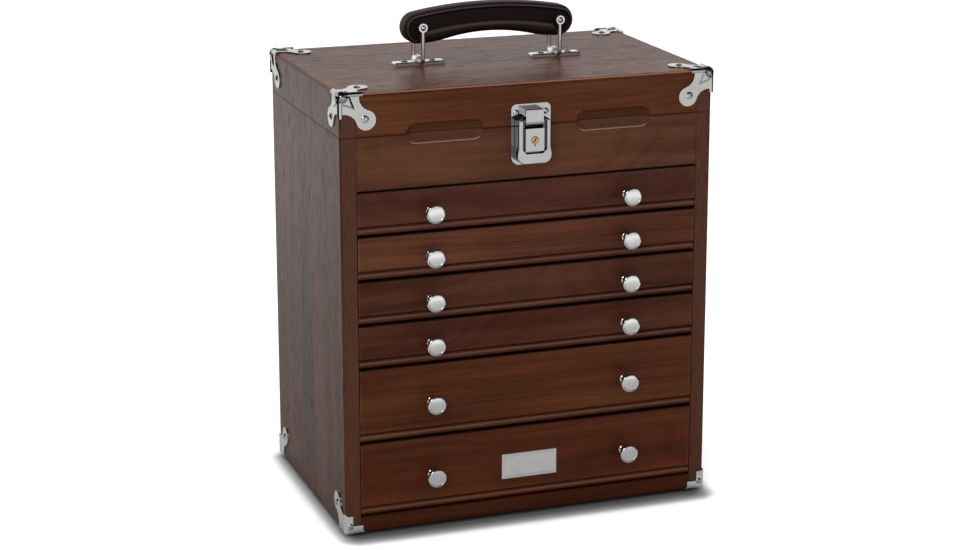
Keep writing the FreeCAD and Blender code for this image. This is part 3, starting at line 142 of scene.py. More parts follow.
class Finish:
    """A material whose nodes are added by one method."""

    def __init__(self, name, world=None):
        self.material = world or bpy.data.materials.new(name)
        self.material.use_nodes = True
        self.tree = self.material.node_tree
        self.tree.nodes.clear()

    def add(self, kind, settings=None, inputs=None, output=0):
        """New node: its settings are made first, then its sockets are set or linked."""
        node = self.tree.nodes.new(kind)
        for key, value in (settings or {}).items():
            if key == "stops":
                ramp = node.color_ramp
                while len(ramp.elements) < len(value):
                    ramp.elements.new(0.5)
                for element, (place, colour) in zip(ramp.elements, value):
                    element.position = place
                    element.color = (*colour, 1.0)
            else:
                setattr(node, key, value)
        for key, value in (inputs or {}).items():
            socket = node.inputs[key]
            if isinstance(value, Field):
                self.tree.links.new(value.socket, socket)
            else:
                socket.default_value = value
        return Field(self, node.outputs[output]) if len(node.outputs) else None

    def place(self, scale=(1, 1, 1), move=(0, 0, 0), turn=(0, 0, 0)):
        """Object coordinates, moved, turned and scaled."""
        where = self.add("ShaderNodeTexCoord", output="Object")
        return self.add("ShaderNodeMapping", {"vector_type": "POINT"},
                        {"Vector": where, "Scale": scale, "Location": move, "Rotation": turn})

    def axes(self, vector):
        """The three numbers of a vector."""
        return [self.add("ShaderNodeSeparateXYZ", None, {"Vector": vector}, output=k) for k in range(3)]

    def arris(self, node):
        """Distance to the nearest of a box-shaped node's arrises, on its skin."""
        low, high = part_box(node)
        near = [(part - low[k]).least(high[k] - part) for k, part in enumerate(self.axes(self.place()))]
        return near[0].least(near[1]).most(near[0].most(near[1]).least(near[2]))

    def noise(self, vector, scale=1.0, detail=2.0, roughness=0.5):
        return self.add("ShaderNodeTexNoise", {"noise_dimensions": "3D"},
                        {"Vector": vector, "Scale": scale, "Detail": detail, "Roughness": roughness})

    def mix(self, factor, first, second):
        """Blend of two colours."""
        return self.add("ShaderNodeMix", {"data_type": "RGBA"}, {0: factor, 6: first, 7: second}, output=2)

    def bump(self, height, distance):
        return self.add("ShaderNodeBump", None, {"Height": height, "Distance": distance})

    def seen(self):
        """1 for what the camera sees, straight or through a mirror or glass."""
        kinds = ("Camera", "Glossy", "Transmission")
        rays = [self.add("ShaderNodeLightPath", output=f"Is {kind} Ray") for kind in kinds]
        return (rays[0] + rays[1] + rays[2]).clamp()

    def surface(self, **values):
        """Principled surface as the material's output; names use underscores for spaces."""
        shader = self.add("ShaderNodeBsdfPrincipled", None,
                          {key.replace("_", " "): value for key, value in values.items()})
        self.add("ShaderNodeOutputMaterial", None, {"Surface": shader})
        return self.material


def rgb(colour):
    return (*colour[:3], 1.0)


# Pieces: surfaces worked out on grids of points. A grid is rows of points; each row closes on itself.

def step(value, low, high):
    """0 below low, 1 above high, smooth in between."""
    share = np.clip((value - low) / (high - low), 0.0, 1.0)
    return share * share * (3 - 2 * share)


def shell(name, grids, crease=35.0, marks=None):
    """Mesh of closed bands, one for each grid; arrises steeper than crease, in degrees, stay sharp.

    Marks are one number for each point, kept as the attribute "mark" for the material.
    """
    quads, first = [], 0
    for grid in grids:
        rows, columns = grid.shape[:2]
        here = first + np.arange((rows - 1) * columns).reshape(rows - 1, columns)
        beside = np.roll(here, -1, axis=1)
        quads.append(np.stack((here, beside, beside + columns, here + columns), axis=-1).reshape(-1, 4))
        first += rows * columns
    mesh = bpy.data.meshes.new(name)
    mesh.from_pydata(np.concatenate([grid.reshape(-1, 3) for grid in grids]), [], np.concatenate(quads))
    if marks is not None:
        mesh.attributes.new("mark", "FLOAT", "POINT").data.foreach_set("value", np.concatenate(marks).ravel())
    work = bmesh.new()
    work.from_mesh(mesh)
    bmesh.ops.remove_doubles(work, verts=work.verts, dist=1e-7)
    bmesh.ops.recalc_face_normals(work, faces=work.faces)
    work.to_mesh(mesh)
    work.free()
    mesh.shade_smooth()
    mesh.set_sharp_from_angle(angle=math.radians(crease))
    return mesh


def add_piece(mesh, material, body, slot, *nodes):
    """Object of a mesh that rides on a body and stands for CAD nodes."""
    mesh.materials.append(material)
    piece = bpy.data.objects.new(mesh.name, mesh)
    bpy.context.collection.objects.link(piece)
    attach(piece, body)
    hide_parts(*nodes)
    return piece


def turned(profile):
    """Profile of (radius, height) turned about +Z: point = (radius cos angle, radius sin angle, height)."""
    spokes = 64
    radius, height = np.array(profile).T
    angle = np.linspace(0, 2 * np.pi, spokes, endpoint=False)
    return np.stack((np.outer(radius, np.cos(angle)), np.outer(radius, np.sin(angle)),
                     np.repeat(height[:, None], spokes, axis=1)), axis=-1)


def arc(centre, radius, start, end, count):
    """Points of an arc in a plane, from one angle to another in degrees."""
    angle = np.radians(np.linspace(start, end, count))
    return [(centre[0] + radius * c, centre[1] + radius * s) for c, s in zip(np.cos(angle), np.sin(angle))]


def seated(points, place, axis, turn=0.0):
    """Points about +Z turned about it, tilted to an axis and moved to a place."""
    tilt = Vector((0, 0, 1)).rotation_difference(Vector(axis)).to_matrix() @ Matrix.Rotation(turn, 3, "Z")
    return points @ np.array(tilt).T + np.array(place)


def screw_head(radius, rise):
    """Domed head with a cross recess.

    Height = edge + (rise - edge)(1 - share^2) - recess, where share is the distance
    from the middle over the radius, and the recess is the larger of two crossed
    slots that get shallower outwards.
    """
    edge, rings, spokes = 0.22 * rise, 26, 48
    slot_end, slot_flank, slot_depth = (0.50, 0.62), (0.10, 0.18), 0.62
    share = np.linspace(0, 1, rings)[:, None]
    angle = np.linspace(0, 2 * np.pi, spokes, endpoint=False)
    across, along = share * np.cos(angle), share * np.sin(angle)
    slots = [(1 - step(np.abs(a), *slot_end)) * (1 - step(np.abs(b), *slot_flank))
             for a, b in ((across, along), (along, across))]
    recess = np.maximum(*slots) * rise * (slot_depth - 0.5 * share)
    height = edge + (rise - edge) * (1 - share ** 2) - recess
    dome = np.stack((across * radius, along * radius, height), axis=-1)
    foot = np.stack((dome[-1, :, 0], dome[-1, :, 1], np.zeros(spokes)), axis=-1)
    return np.concatenate((dome, foot[None], foot[None] * 0))


def knob_form():
    """Turned knob: foot, throat, flare, rounded rim, a fine groove and an almost flat face within it."""
    neck, rim_centre, length = 0.0033, 0.0074, 0.0170
    foot = [(0, 0), (0.0046, 0), *arc((0.0042, 0.0008), 0.0008, -30, 90, 6), (0.0036, 0.0017)]
    throat = [*arc((0.0060, 0.0044), 0.0027, 240, 180, 6), (neck, 0.0090)]
    flare = [(0.0038, 0.0104), (0.0052, 0.0118), (rim_centre, 0.0129), (0.0087, 0.0134)]
    rim = arc((rim_centre, 0.0150), 0.0018, -40, 80, 14)
    groove = [(rim_centre, 0.01665), (0.0072, 0.01650), (0.0069, 0.01655)]
    face = [(0.0045, 0.01685), (0.0020, 0.01698), (0, length)]
    return turned(foot + throat + flare + rim + groove + face)


def plate_form(width, height):
    """Bare plate: a profile of (inset, thickness) carried round a rectangle.

    It has a rounded edge, a raised border, a fine line within it and a flat field.
    """
    edge = [(0, 0), (0, 0.0008), (0.0005, 0.0013), (0.0008, 0.0014)]
    border = [(0.0018, 0.0014), (0.0021, 0.0013), (0.0022, 0.0009), (0.0027, 0.00085)]
    line = [(0.0028, 0.0011), (0.0031, 0.0011), (0.0033, 0.0010)]
    rows = []
    for inset, thickness in edge + border + line:
        x, z = width / 2 - inset, height / 2 - inset
        rows.append([(-x, -thickness, -z), (x, -thickness, -z), (x, -thickness, z), (-x, -thickness, z)])
    field, back = [(0, -line[-1][1], 0)] * 4, [(0, 0, 0)] * 4
    return np.array([back, *rows, field])


def grip_outline(end, radius):
    """Upper and lower half of the grip's silhouette, in millimetres, at the same places along x.

    They are tangent arcs: a crown, two round ends, two heels and the arch of the
    underside. The crown's arc is the one that passes its top and touches both ends.
    """
    centre, crown, under, heel = 460.7, 482.3, 454.2, 120.0
    rise, lift = crown - centre, under - centre + radius
    top_arc = (end ** 2 + rise ** 2 - radius ** 2) / (2 * (rise - radius))
    lean = np.degrees(np.arctan2(centre - crown + top_arc, end))
    over = (arc((-end, centre), radius, 180, 180 - lean, 40)
            + arc((0, crown - top_arc), top_arc, 180 - lean, lean, 200)
            + arc((end, centre), radius, lean, 0, 40))
    reach = (end ** 2 + lift ** 2) / (2 * lift)
    tilt = np.degrees(np.arcsin(end / reach))
    heel_z = centre - radius + heel
    below = (arc((-end, centre), radius, 180, 270, 40) + arc((-end, heel_z), heel, 270, 270 + tilt, 40)
             + arc((0, under - reach + heel), reach - heel, 90 + tilt, 90 - tilt, 120)
             + arc((end, heel_z), heel, 270 - tilt, 270, 40) + arc((end, centre), radius, 270, 360, 40))
    x = -np.cos(np.linspace(0, np.pi, 161)) * (end + radius)
    return [np.column_stack((x, np.interp(x, *np.array(line).T))) for line in (over, below)]


def grip_form():
    """Moulded grip: rows go from the silhouette inwards to a middle line, once in front and once behind.

    Half depth = 12 mm less the rounding of its edge, a pressed line, and a hollow
    between the bead that follows the silhouette and the roll below. The marks are 1
    on the bead's crest and the roll's brow, where the leather gets a painted highlight.
    """
    end, radius, rounding, half_depth = 71.7, 15.1, 7.5, 12.0
    upper, lower = grip_outline(end, radius)
    edge = np.concatenate((upper, lower[-2:0:-1]))
    along = np.roll(edge, -1, axis=0) - np.roll(edge, 1, axis=0)
    inward = np.stack((along[:, 1], -along[:, 0]), axis=-1) / np.linalg.norm(along, axis=1)[:, None]
    level = (upper[:, 1] + lower[:, 1]) / 2
    middle_x = np.clip(upper[:, 0] * 0.82, -end, end)
    middle = np.column_stack((middle_x, np.interp(middle_x, upper[:, 0], level)))
    middle = np.concatenate((middle, middle[-2:0:-1]))

    def row(ground, y, d):
        """Points of a row: place in the front view, half depth and distance from the silhouette."""
        return np.column_stack((ground, np.full(len(ground), y), np.full(len(ground), d)))

    turn = np.radians(np.linspace(0, 90, 14))[1:]
    inset = np.concatenate(([0.0, 0.02, 0.1], rounding * (1 - np.cos(turn))))
    depth = np.concatenate(([0.0, 2.0, 4.3], half_depth - rounding * (1 - np.sin(turn))))
    rows = [row(edge + inward * d, y, d) for d, y in zip(inset, depth)]
    last = rows[-1][:, :2]
    rows += [row(last * (1 - part) + middle * part, half_depth, rounding + 4 * part)
             for part in np.linspace(0, 1, 12)[1:]]
    x, z, y, d = np.moveaxis(np.array(rows), -1, 0)
    bend, roll_top, roll_fall = 65, 465.2, 6.6
    roll = (roll_top - roll_fall * np.minimum(np.abs(x) / bend, 1) ** 2
            - np.maximum(np.abs(x) - bend, 0) * 1.2)
    line_at, bead_at, rim_at = 1.8, 3.1, 0.7
    above = step(z - roll, 0.0, 3.0)
    hollow = step(d, 3.6, 6.0) * step(z - roll, -2.2, 0.6)
    line = np.exp(-((d - line_at) / 0.45) ** 2) * above
    y = y * (1 - 0.24 * hollow) - 0.7 * line
    middle_y = (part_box("grip")[0][1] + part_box("grip")[1][1]) / 2
    halves = [np.stack((x / 1000, middle_y + out * y / 1000, z / 1000), axis=-1) for out in (-1, 1)]
    # Painted highlights: the marks on the bead's crest and the roll's brow.
    bead = (np.exp(-((d - bead_at) / 0.55) ** 2) + 0.5 * np.exp(-((d - rim_at) / 0.4) ** 2)) * above
    brow = np.exp(-((z - roll + 2.6) / 1.3) ** 2) * step(d, 2.5, 4.5) * (1 - step(np.abs(x), 62, 72))
    return halves, [np.maximum(bead, brow)] * 2


# Sizes and colours that a user would change.

class WalnutLook(bpy.types.PropertyGroup):
    """Stained and lacquered wood."""
    dark: bpy.props.FloatVectorProperty(
        name="Dark streaks", description="Colour of the darkest wood", default=(0.038, 0.0088, 0.0026),
        size=3, subtype="COLOR", min=0.0, max=1.0)
    middle: bpy.props.FloatVectorProperty(
        name="Heartwood", description="Main colour", default=(0.071, 0.0175, 0.0048),
        size=3, subtype="COLOR", min=0.0, max=1.0)
    light: bpy.props.FloatVectorProperty(
        name="Light streaks", description="Colour of the lightest wood", default=(0.112, 0.0320, 0.0095),
        size=3, subtype="COLOR", min=0.0, max=1.0)
    # Lighter arris colour: partly wear, partly a painted highlight of the rounded edges.
    wear_and_highlight_colour: bpy.props.FloatVectorProperty(
        name="Arrises", description="Colour of the rubbed edges", default=(0.170, 0.055, 0.019),
        size=3, subtype="COLOR", min=0.0, max=1.0)
    ring: bpy.props.FloatProperty(
        name="Ring width", description="Mean width of a year's ring", default=0.0062, unit="LENGTH",
        min=0.0005)
    # Width of the line along an arris: lighter with wear and a painted highlight, or darker as painted shade
    # of the seams.
    edge: bpy.props.FloatProperty(
        name="Rubbed width", description="Width of the line along an arris", default=0.0014, unit="LENGTH",
        min=0.0)
    gloss: bpy.props.FloatProperty(
        name="Roughness", description="Roughness of the satin lacquer", default=0.33, subtype="FACTOR",
        min=0.0, max=1.0)


class MetalLook(bpy.types.PropertyGroup):
    """Nickel and brass fittings."""
    nickel: bpy.props.FloatVectorProperty(
        name="Nickel", description="Colour of the nickel plating", default=(0.62, 0.62, 0.615),
        size=3, subtype="COLOR", min=0.0, max=1.0)
    brass: bpy.props.FloatVectorProperty(
        name="Brass", description="Colour of the lock cylinder", default=(0.75, 0.50, 0.18),
        size=3, subtype="COLOR", min=0.0, max=1.0)
    screw: bpy.props.FloatProperty(
        name="Large screws", description="Radius of the screw heads in lobes and saddles", default=0.0036,
        unit="LENGTH", min=0.001)
    small_screw: bpy.props.FloatProperty(
        name="Small screws", description="Radius of the other screw heads", default=0.0029,
        unit="LENGTH", min=0.001)
    screw_rise: bpy.props.FloatProperty(
        name="Screw height", description="Height of the screw heads", default=0.0015,
        unit="LENGTH", min=0.0002)
    polish: bpy.props.FloatProperty(
        name="Polish", description="Roughness of polished nickel", default=0.10, subtype="FACTOR",
        min=0.0, max=1.0)


class SoftLook(bpy.types.PropertyGroup):
    """Leather, felt and rubber."""
    leather: bpy.props.FloatVectorProperty(
        name="Leather", description="Colour of the grip", default=(0.0062, 0.0036, 0.0036),
        size=3, subtype="COLOR", min=0.0, max=1.0)
    felt: bpy.props.FloatVectorProperty(
        name="Felt", description="Colour of the linings", default=(0.030, 0.085, 0.052),
        size=3, subtype="COLOR", min=0.0, max=1.0)
    rubber: bpy.props.FloatVectorProperty(
        name="Rubber", description="Colour of the feet", default=(0.012, 0.012, 0.012),
        size=3, subtype="COLOR", min=0.0, max=1.0)


class StudioLook(bpy.types.PropertyGroup):
    """Camera, floor and lamps."""
    focal: bpy.props.FloatProperty(
        name="Focal length", description="Lens in millimetres on a 36 mm sensor", default=85.24, min=1.0,
        unit="CAMERA")
    shift: bpy.props.FloatProperty(
        name="Vertical shift", description="Rise of the lens, as a share of the sensor's width",
        default=-0.0716, subtype="FACTOR", min=-1.0, max=1.0)
    azimuth: bpy.props.FloatProperty(
        name="Azimuth", description="Turn of the camera about the vertical", default=-0.3457,
        subtype="ANGLE")
    elevation: bpy.props.FloatProperty(
        name="Elevation", description="Tilt of the camera below the horizon", default=0.2463,
        subtype="ANGLE")
    place: bpy.props.FloatVectorProperty(
        name="Camera", description="Place of the camera", default=(-0.74792, -2.07751, 0.83568),
        size=3, subtype="TRANSLATION")
    world: bpy.props.FloatProperty(
        name="World", description="Strength of the even light", default=0.75, min=0.0)
    glow: bpy.props.FloatProperty(
        name="Floor glow", description="Added white of the floor that is seen", default=0.45, min=0.0)
    card_distance: bpy.props.FloatProperty(
        name="Black cards", description="Distance of the two black cards that metal mirrors at its sides",
        default=0.8, unit="LENGTH", min=0.4)
    dim: bpy.props.FloatProperty(
        name="Room", description="Brightness of the room that metal mirrors in front", default=0.08,
        subtype="FACTOR", min=0.0, max=1.0)


# Walnut.

def walnut(node, along, seed, look, tone=(1.0, 1.0, 1.0), figure=1.0, pore=1.0, fine=1.0, wear_and_highlight_share=0.0,
           relief=0.00007, shine=0.09, touches=()):
    """Flat-sawn board of a node: year rings are cylinders about a tilted pith, cut by the board's faces.

    Ring number = distance from the pith / ring width, bent by noise. Pores lie in
    the early wood of each ring; they and the fibres are noise drawn out along the
    grain. On a board's skin the distance to its nearest arris is the second
    smallest of the distances to its three pairs of faces. A touch is a colour and
    a rule for where on the board it lies.
    """
    def tinted(colour, share=1.0):
        return [part * share * tint for part, tint in zip(colour, tone)]

    finish = Finish(f"walnut_{node}")
    rng = np.random.default_rng(seed)
    parts = finish.axes(finish.place(move=tuple(rng.uniform(-0.5, 0.5, 3))))
    grain = parts["XYZ".index(along)]
    across = [parts[k] for k in range(3) if "XYZ"[k] != along]

    def drawn(length, width, detail=2.0, roughness=0.5):
        """Noise with the given lengths along and across the grain."""
        vector = finish.add("ShaderNodeCombineXYZ", None,
                            {0: grain * (1 / length), 1: across[0] * (1 / width), 2: across[1] * (1 / width)})
        return finish.noise(vector, detail=detail, roughness=roughness)

    sway = drawn(0.35, 0.12, 1.0)
    wobble = drawn(0.10, 0.030, 2.0)
    slope = float(rng.uniform(0.03, 0.07) * rng.choice((-1, 1)))
    first = across[0] + grain * slope + (sway - 0.5) * 0.10 + (wobble - 0.5) * 0.010
    second = across[1] + (sway - 0.5) * 0.05 + float(rng.uniform(0.03, 0.07))
    ring = ((first * first + second * second) ** 0.5 / look.ring).fraction()
    late = ring.between(0.35, 0.93) * (1 - ring.between(0.93, 1.0))
    band = drawn(0.45, 0.022, 3.0, 0.55)
    cloud = drawn(0.14, 0.07, 1.0)
    fibre = drawn(0.060, 0.0011, 3.0, 0.60)
    dashes = drawn(0.016, 0.00060, 0.0)
    pores = dashes.between(0.56, 0.72) * (1 - late * 0.8) * pore
    shade = band * 1.1 + cloud * 0.40 + (fibre - 0.5) * (0.40 * fine) - late * 0.20 * figure - 0.20
    colour = finish.add("ShaderNodeValToRGB",
                        {"stops": [(0.25, tinted(look.dark)), (0.5, tinted(look.middle)),
                                   (0.78, tinted(look.light))]}, {"Fac": shade})
    colour = finish.mix(pores * 0.6, colour, rgb(tinted(look.dark, 0.22)))
    arris = 1 - finish.arris(node).between(look.edge * 0.25, look.edge)
    # Lighter along the arrises: partly wear, partly a painted highlight on their rounding.
    if wear_and_highlight_share:
        colour = finish.mix(arris * band.between(0.30, 0.62) * wear_and_highlight_share, colour, rgb(tinted(look.wear_and_highlight_colour)))
    else:
        # Darker along the arrises: partly finish built up in the joints, partly painted shade of the seams.
        colour = finish.mix(arris * 0.5, colour, rgb(tinted(look.dark, 0.5)))
    x, y, z = finish.axes(finish.place())
    for paint, where in touches:
        colour = finish.mix(where(x, y, z), colour, rgb(paint))
    height = fibre * 0.6 - pores * 0.7 - late * 0.3 * figure
    rough = (fibre - 0.5) * 0.14 + look.gloss + pores * (relief * 1600)
    return finish.surface(Base_Color=colour, Roughness=rough, Specular_IOR_Level=shine,
                          Normal=finish.bump(height, relief))


def plain_wood(name, along, seed):
    """Pale sealed hardwood of the drawer boxes and runners: fine fibres along the grain."""
    finish = Finish(name)
    stretch = {"X": (9, 420, 420), "Y": (420, 9, 420), "Z": (420, 420, 9)}[along]
    rng = np.random.default_rng(seed)
    fibre = finish.noise(finish.place(stretch, tuple(rng.uniform(-9, 9, 3))), detail=3.0, roughness=0.6)
    broad = finish.noise(finish.place([s * 0.06 for s in stretch], tuple(rng.uniform(-9, 9, 3))), detail=2.0)
    tone = (fibre * 0.5 + broad * 0.7 - 0.1).clamp()
    stops = [(0.2, (0.30, 0.17, 0.085)), (0.55, (0.42, 0.26, 0.14)), (0.9, (0.52, 0.35, 0.20))]
    colour = finish.add("ShaderNodeValToRGB", {"stops": stops}, {"Fac": tone})
    return finish.surface(Base_Color=colour, Roughness=fibre * 0.2 + 0.45, Normal=finish.bump(fibre, 0.00006))


# Metals.

def nickel(name, look, roughness, satin=0.0, tone=1.0, painted_shade=None):
    """Nickel plating: even colour, faint clouds and fine scratches; painted_shade is a rule for the places
    that are painted dark as shade.
    """
    finish = Finish(name)
    cloud = finish.noise(finish.place((60, 60, 60)), detail=3.0)
    scratch = finish.noise(finish.place((260, 2600, 900), turn=(0.4, 0.7, 0.3)), detail=2.0)
    colour = finish.mix(cloud.between(0.35, 0.75) * 0.5, rgb([c * tone for c in look.nickel]),
                        rgb([c * 0.86 * tone for c in look.nickel]))
    if painted_shade:
        colour = finish.mix(painted_shade(*finish.axes(finish.place())), colour, rgb([c * 0.12 for c in look.nickel]))
    rough = cloud * 0.07 + scratch.between(0.62, 0.80) * 0.10 + (roughness - 0.03)
    height = cloud * 0.4 + scratch * (0.25 + satin)
    return finish.surface(Base_Color=colour, Metallic=1.0, Roughness=rough,
                          Normal=finish.bump(height, 0.00002))


def turned_brass(name, look):
    """Turned brass: rings about the cylinder's axis, darker rim and painted shade in the keyway."""
    finish = Finish(name)
    face, ring_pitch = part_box("lock_cylinder")[0][1], 0.0009
    x, y, z = finish.axes(finish.place())
    radius = (x * x + (z - LOCK_AXIS_Z) ** 2) ** 0.5
    grain = finish.noise(finish.place((900, 900, 900)), detail=2.0)
    ring = (radius / ring_pitch + grain * 0.3).fraction()
    colour = finish.mix(grain.between(0.3, 0.8), rgb(look.brass), rgb([c * 0.7 for c in look.brass]))
    colour = finish.mix(radius.between(0.0022, 0.0034) * 0.8, colour, rgb([c * 0.30 for c in look.brass]))
    # Painted shade: nearly black deeper than 0.6 mm behind the face, in the keyway.
    colour = finish.mix((y - face).between(0.0002, 0.0006), colour, rgb([c * 0.05 for c in look.brass]))
    return finish.surface(Base_Color=colour, Metallic=1.0, Roughness=grain * 0.15 + 0.2,
                          Normal=finish.bump(grain + ring * 0.8, 0.00004))


# Soft finishes.

def leather(name, look):
    """Smooth black-brown leather: fine cells and a wider swell, with painted highlights on its raised faces
    and on the marked crests.
    """
    finish = Finish(name)
    cells = finish.add("ShaderNodeTexVoronoi", {"feature": "DISTANCE_TO_EDGE"},
                       {"Vector": finish.place(), "Scale": 700.0})
    wide = finish.noise(finish.place(), 90.0, 3.0)
    highlight_breakup = finish.noise(finish.place(), 30.0, 2.0)
    mark = finish.add("ShaderNodeAttribute", {"attribute_name": "mark"}, output="Fac")
    low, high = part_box("grip")
    depth = finish.axes(finish.place())[1] - (low[1] + high[1]) / 2
    # Painted highlights: lighter on the raised outer faces, much lighter on the marked crests, broken up by
    # noise.
    proud = ((depth * depth) ** 0.5).between(0.0098, 0.0116) * (0.55 + highlight_breakup * 0.6)
    colour = finish.mix(proud, rgb(look.leather), rgb([c * 2.6 for c in look.leather]))
    colour = finish.mix((mark * (0.6 + highlight_breakup * 0.6)).clamp(), colour, rgb([c * 14 for c in look.leather]))
    height = cells.between(0.0, 0.25) * 0.6 + wide * 0.6
    return finish.surface(Base_Color=colour, Roughness=wide * 0.16 + 0.42, Specular_IOR_Level=0.20,
                          Specular_Tint=(1.0, 0.80, 0.76, 1.0), Normal=finish.bump(height, 0.00012))


def felt(name, colour):
    """Short felt: matt fibres in all directions."""
    finish = Finish(name)
    tuft = finish.noise(finish.place(), 900.0, 4.0, 0.7)
    cloud = finish.noise(finish.place(), 30.0, 2.0)
    shade = finish.mix((tuft * 0.6 + cloud * 0.4).between(0.3, 0.75), rgb([c * 0.6 for c in colour]),
                       rgb([c * 1.25 for c in colour]))
    return finish.surface(Base_Color=shade, Roughness=0.95, Specular_IOR_Level=0.2, Sheen_Weight=0.3,
                          Sheen_Roughness=0.6, Normal=finish.bump(tuft, 0.0003))


def rubber(name, look):
    """Black rubber with a faint dusty bloom."""
    finish = Finish(name)
    dust = finish.noise(finish.place(), 260.0, 3.0)
    colour = finish.mix(dust.between(0.45, 0.8) * 0.6, rgb(look.rubber), rgb([c * 2.6 for c in look.rubber]))
    return finish.surface(Base_Color=colour, Roughness=dust * 0.15 + 0.6, Normal=finish.bump(dust, 0.00008))


def dress(node, material):
    """Gives a CAD node one material on all its slots."""
    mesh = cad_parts[node].data
    mesh.materials.clear()
    mesh.materials.append(material)


# Operators: one for each piece or group of like pieces.

class CHEST_OT_boards(bpy.types.Operator):
    """Dress the boards of case and lid in walnut"""
    bl_idname = "chest.boards"
    bl_label = "Case and lid boards"

    def execute(self, context):
        look = context.scene.chest_walnut
        grain = {"side_left": "Z", "side_right": "Z", "back_panel": "Z", "bottom_panel": "X",
                 "bottom_rail": "X", "tray_front": "X", "lid_top": "X", "lid_front_rail": "X",
                 "lid_back_rail": "X", "lid_left_rail": "Z", "lid_right_rail": "Z"}
        scoop_middle, scoop_reach, scoop_depth = 0.0834, 0.041, 0.0056

        def scoop(x, y, z):
            """1 within the two finger scoops."""
            near = ((x * x) ** 0.5 - scoop_middle) ** 2
            return ((1 - near.between(scoop_reach ** 2, (scoop_reach + 0.001) ** 2))
                    * (y - FRONT).between(0.0001, 0.0006)
                    * (1 - (y - FRONT).between(scoop_depth, scoop_depth + 0.0004)))

        def scoop_roof(x, y, z):
            """The upper half of the scoops, which gets less light."""
            return scoop(x, y, z) * 0.55

        def scoop_lip_highlight(x, y, z):
            """Painted highlight: a light line along the lower edge of each scoop."""
            low_part = 1 - z.between(SEAM - 0.008, SEAM - 0.006)
            return scoop(x, y, z) * (1 - (y - FRONT).between(0.0006, 0.0018)) * low_part * 0.85

        def arris(x, y, z):
            """Painted highlight on the rounded upper front arris of the lid."""
            upper = z.between(CROWN - 0.0018, CROWN - 0.0008)
            return (1 - (y - FRONT).between(0.0006, 0.0016)) * upper * 0.8

        def stile(x, y, z):
            """Warmer front edges of the side boards and of the lid's left and right rails."""
            return (1 - (y - FRONT).between(0.0003, 0.0008)) * 0.45

        warm = [part * share for part, share in zip(look.middle, (1.0, 0.85, 0.25))]
        plain = {"tone": (0.90, 0.94, 0.98), "figure": 0.7, "pore": 1.3, "relief": 0.00008, "shine": 0.30,
                 "touches": [(warm, stile)]}
        quiet = {"figure": 0.45, "pore": 0.35, "fine": 0.6}
        # The bottom rail's darker tone is painted shade under the lowest drawer. The bluer, lighter tone of
        # the tray front and the lid front rail holds painted sheen besides their own colour.
        rare = {"bottom_panel": quiet,
                "bottom_rail": {"tone": (0.70, 0.62, 0.62), **quiet},
                "tray_front": {"tone": (1.28, 1.80, 2.9), **quiet,
                               # The scoop floors in the tray front get a pinker colour: painted light where
                               # they face up.
                               "touches": [((0.088, 0.034, 0.021), scoop), ((0.33, 0.21, 0.17), scoop_lip_highlight)]},
                "lid_front_rail": {"tone": (1.27, 1.45, 1.6), **quiet,
                                   "touches": [((0.030, 0.0085, 0.003), scoop_roof)]},
                "lid_top": {"tone": (1.3, 1.3, 1.3), "figure": 0.7, "pore": 2.4, "wear_and_highlight_share": 0.4,
                            "relief": 0.00005, "shine": 0.113, "touches": [((0.34, 0.17, 0.115), arris)]}}
        for seed, (node, along) in enumerate(grain.items(), start=11):
            dress(node, walnut(node, along, seed, look, **rare.get(node, plain)))
        return {"FINISHED"}


class CHEST_OT_drawers(bpy.types.Operator):
    """Dress the six drawers: walnut fronts, plain boxes and felt bottoms"""
    bl_idname = "chest.drawers"
    bl_label = "Drawers"

    def execute(self, context):
        look = context.scene.chest_walnut
        lining = felt("felt_drawer", context.scene.chest_soft.felt)
        box_wood = plain_wood("drawer_box_wood", "Y", 3)
        # Each front's tone is matched to how it looks, so it holds painted sheen besides the board's own
        # colour: bluer and lighter on the upper fronts, darker on the lowest.
        tones_with_sheen = ((0.89, 1.04, 2.1), (1.1, 1.3, 2.1), (0.78, 0.91, 1.5), (0.80, 0.87, 1.4), (0.97, 1.02, 1.06),
                 (0.84, 0.77, 0.80))
        for number, tone in zip(DRAWERS, tones_with_sheen):
            name = f"drawer_{number}"
            low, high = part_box(f"{name}_front")

            def bead(x, y, z, foot=low[2]):
                """Crest of the bead, lighter as a painted highlight."""
                up = z - foot
                return up.between(0.0034, 0.0047) * (1 - up.between(0.0052, 0.0066)) * 0.7

            def shadow(x, y, z, foot=low[2], top=high[2]):
                """Painted shade in the quirk, under the bead and along the top arris."""
                up = z - foot
                quirk = up.between(0.0072, 0.0076) * (1 - up.between(0.0086, 0.0092))
                under, upper = 1 - up.between(0.0006, 0.0030), z.between(top - 0.0012, top - 0.0005)
                return quirk.most(under).most(upper) * 0.85

            touches = [((0.135, 0.062, 0.044), bead), ((0.006, 0.003, 0.0018), shadow)]
            front = walnut(f"{name}_front", "X", 40 + number, look, tone, figure=0.45, pore=0.4, fine=0.6,
                           wear_and_highlight_share=0.7, touches=touches)
            dress(f"{name}_front", front)
            dress(f"{name}_walls", box_wood)
            dress(f"{name}_bottom", lining)
        dress("drawer_runners", box_wood)
        return {"FINISHED"}


class CHEST_OT_linings(bpy.types.Operator):
    """Dress the till floor and the lid's lining in felt"""
    bl_idname = "chest.linings"
    bl_label = "Linings"

    def execute(self, context):
        lining = felt("felt_till", context.scene.chest_soft.felt)
        dress("till_floor", lining)
        dress("lid_lining", lining)
        return {"FINISHED"}


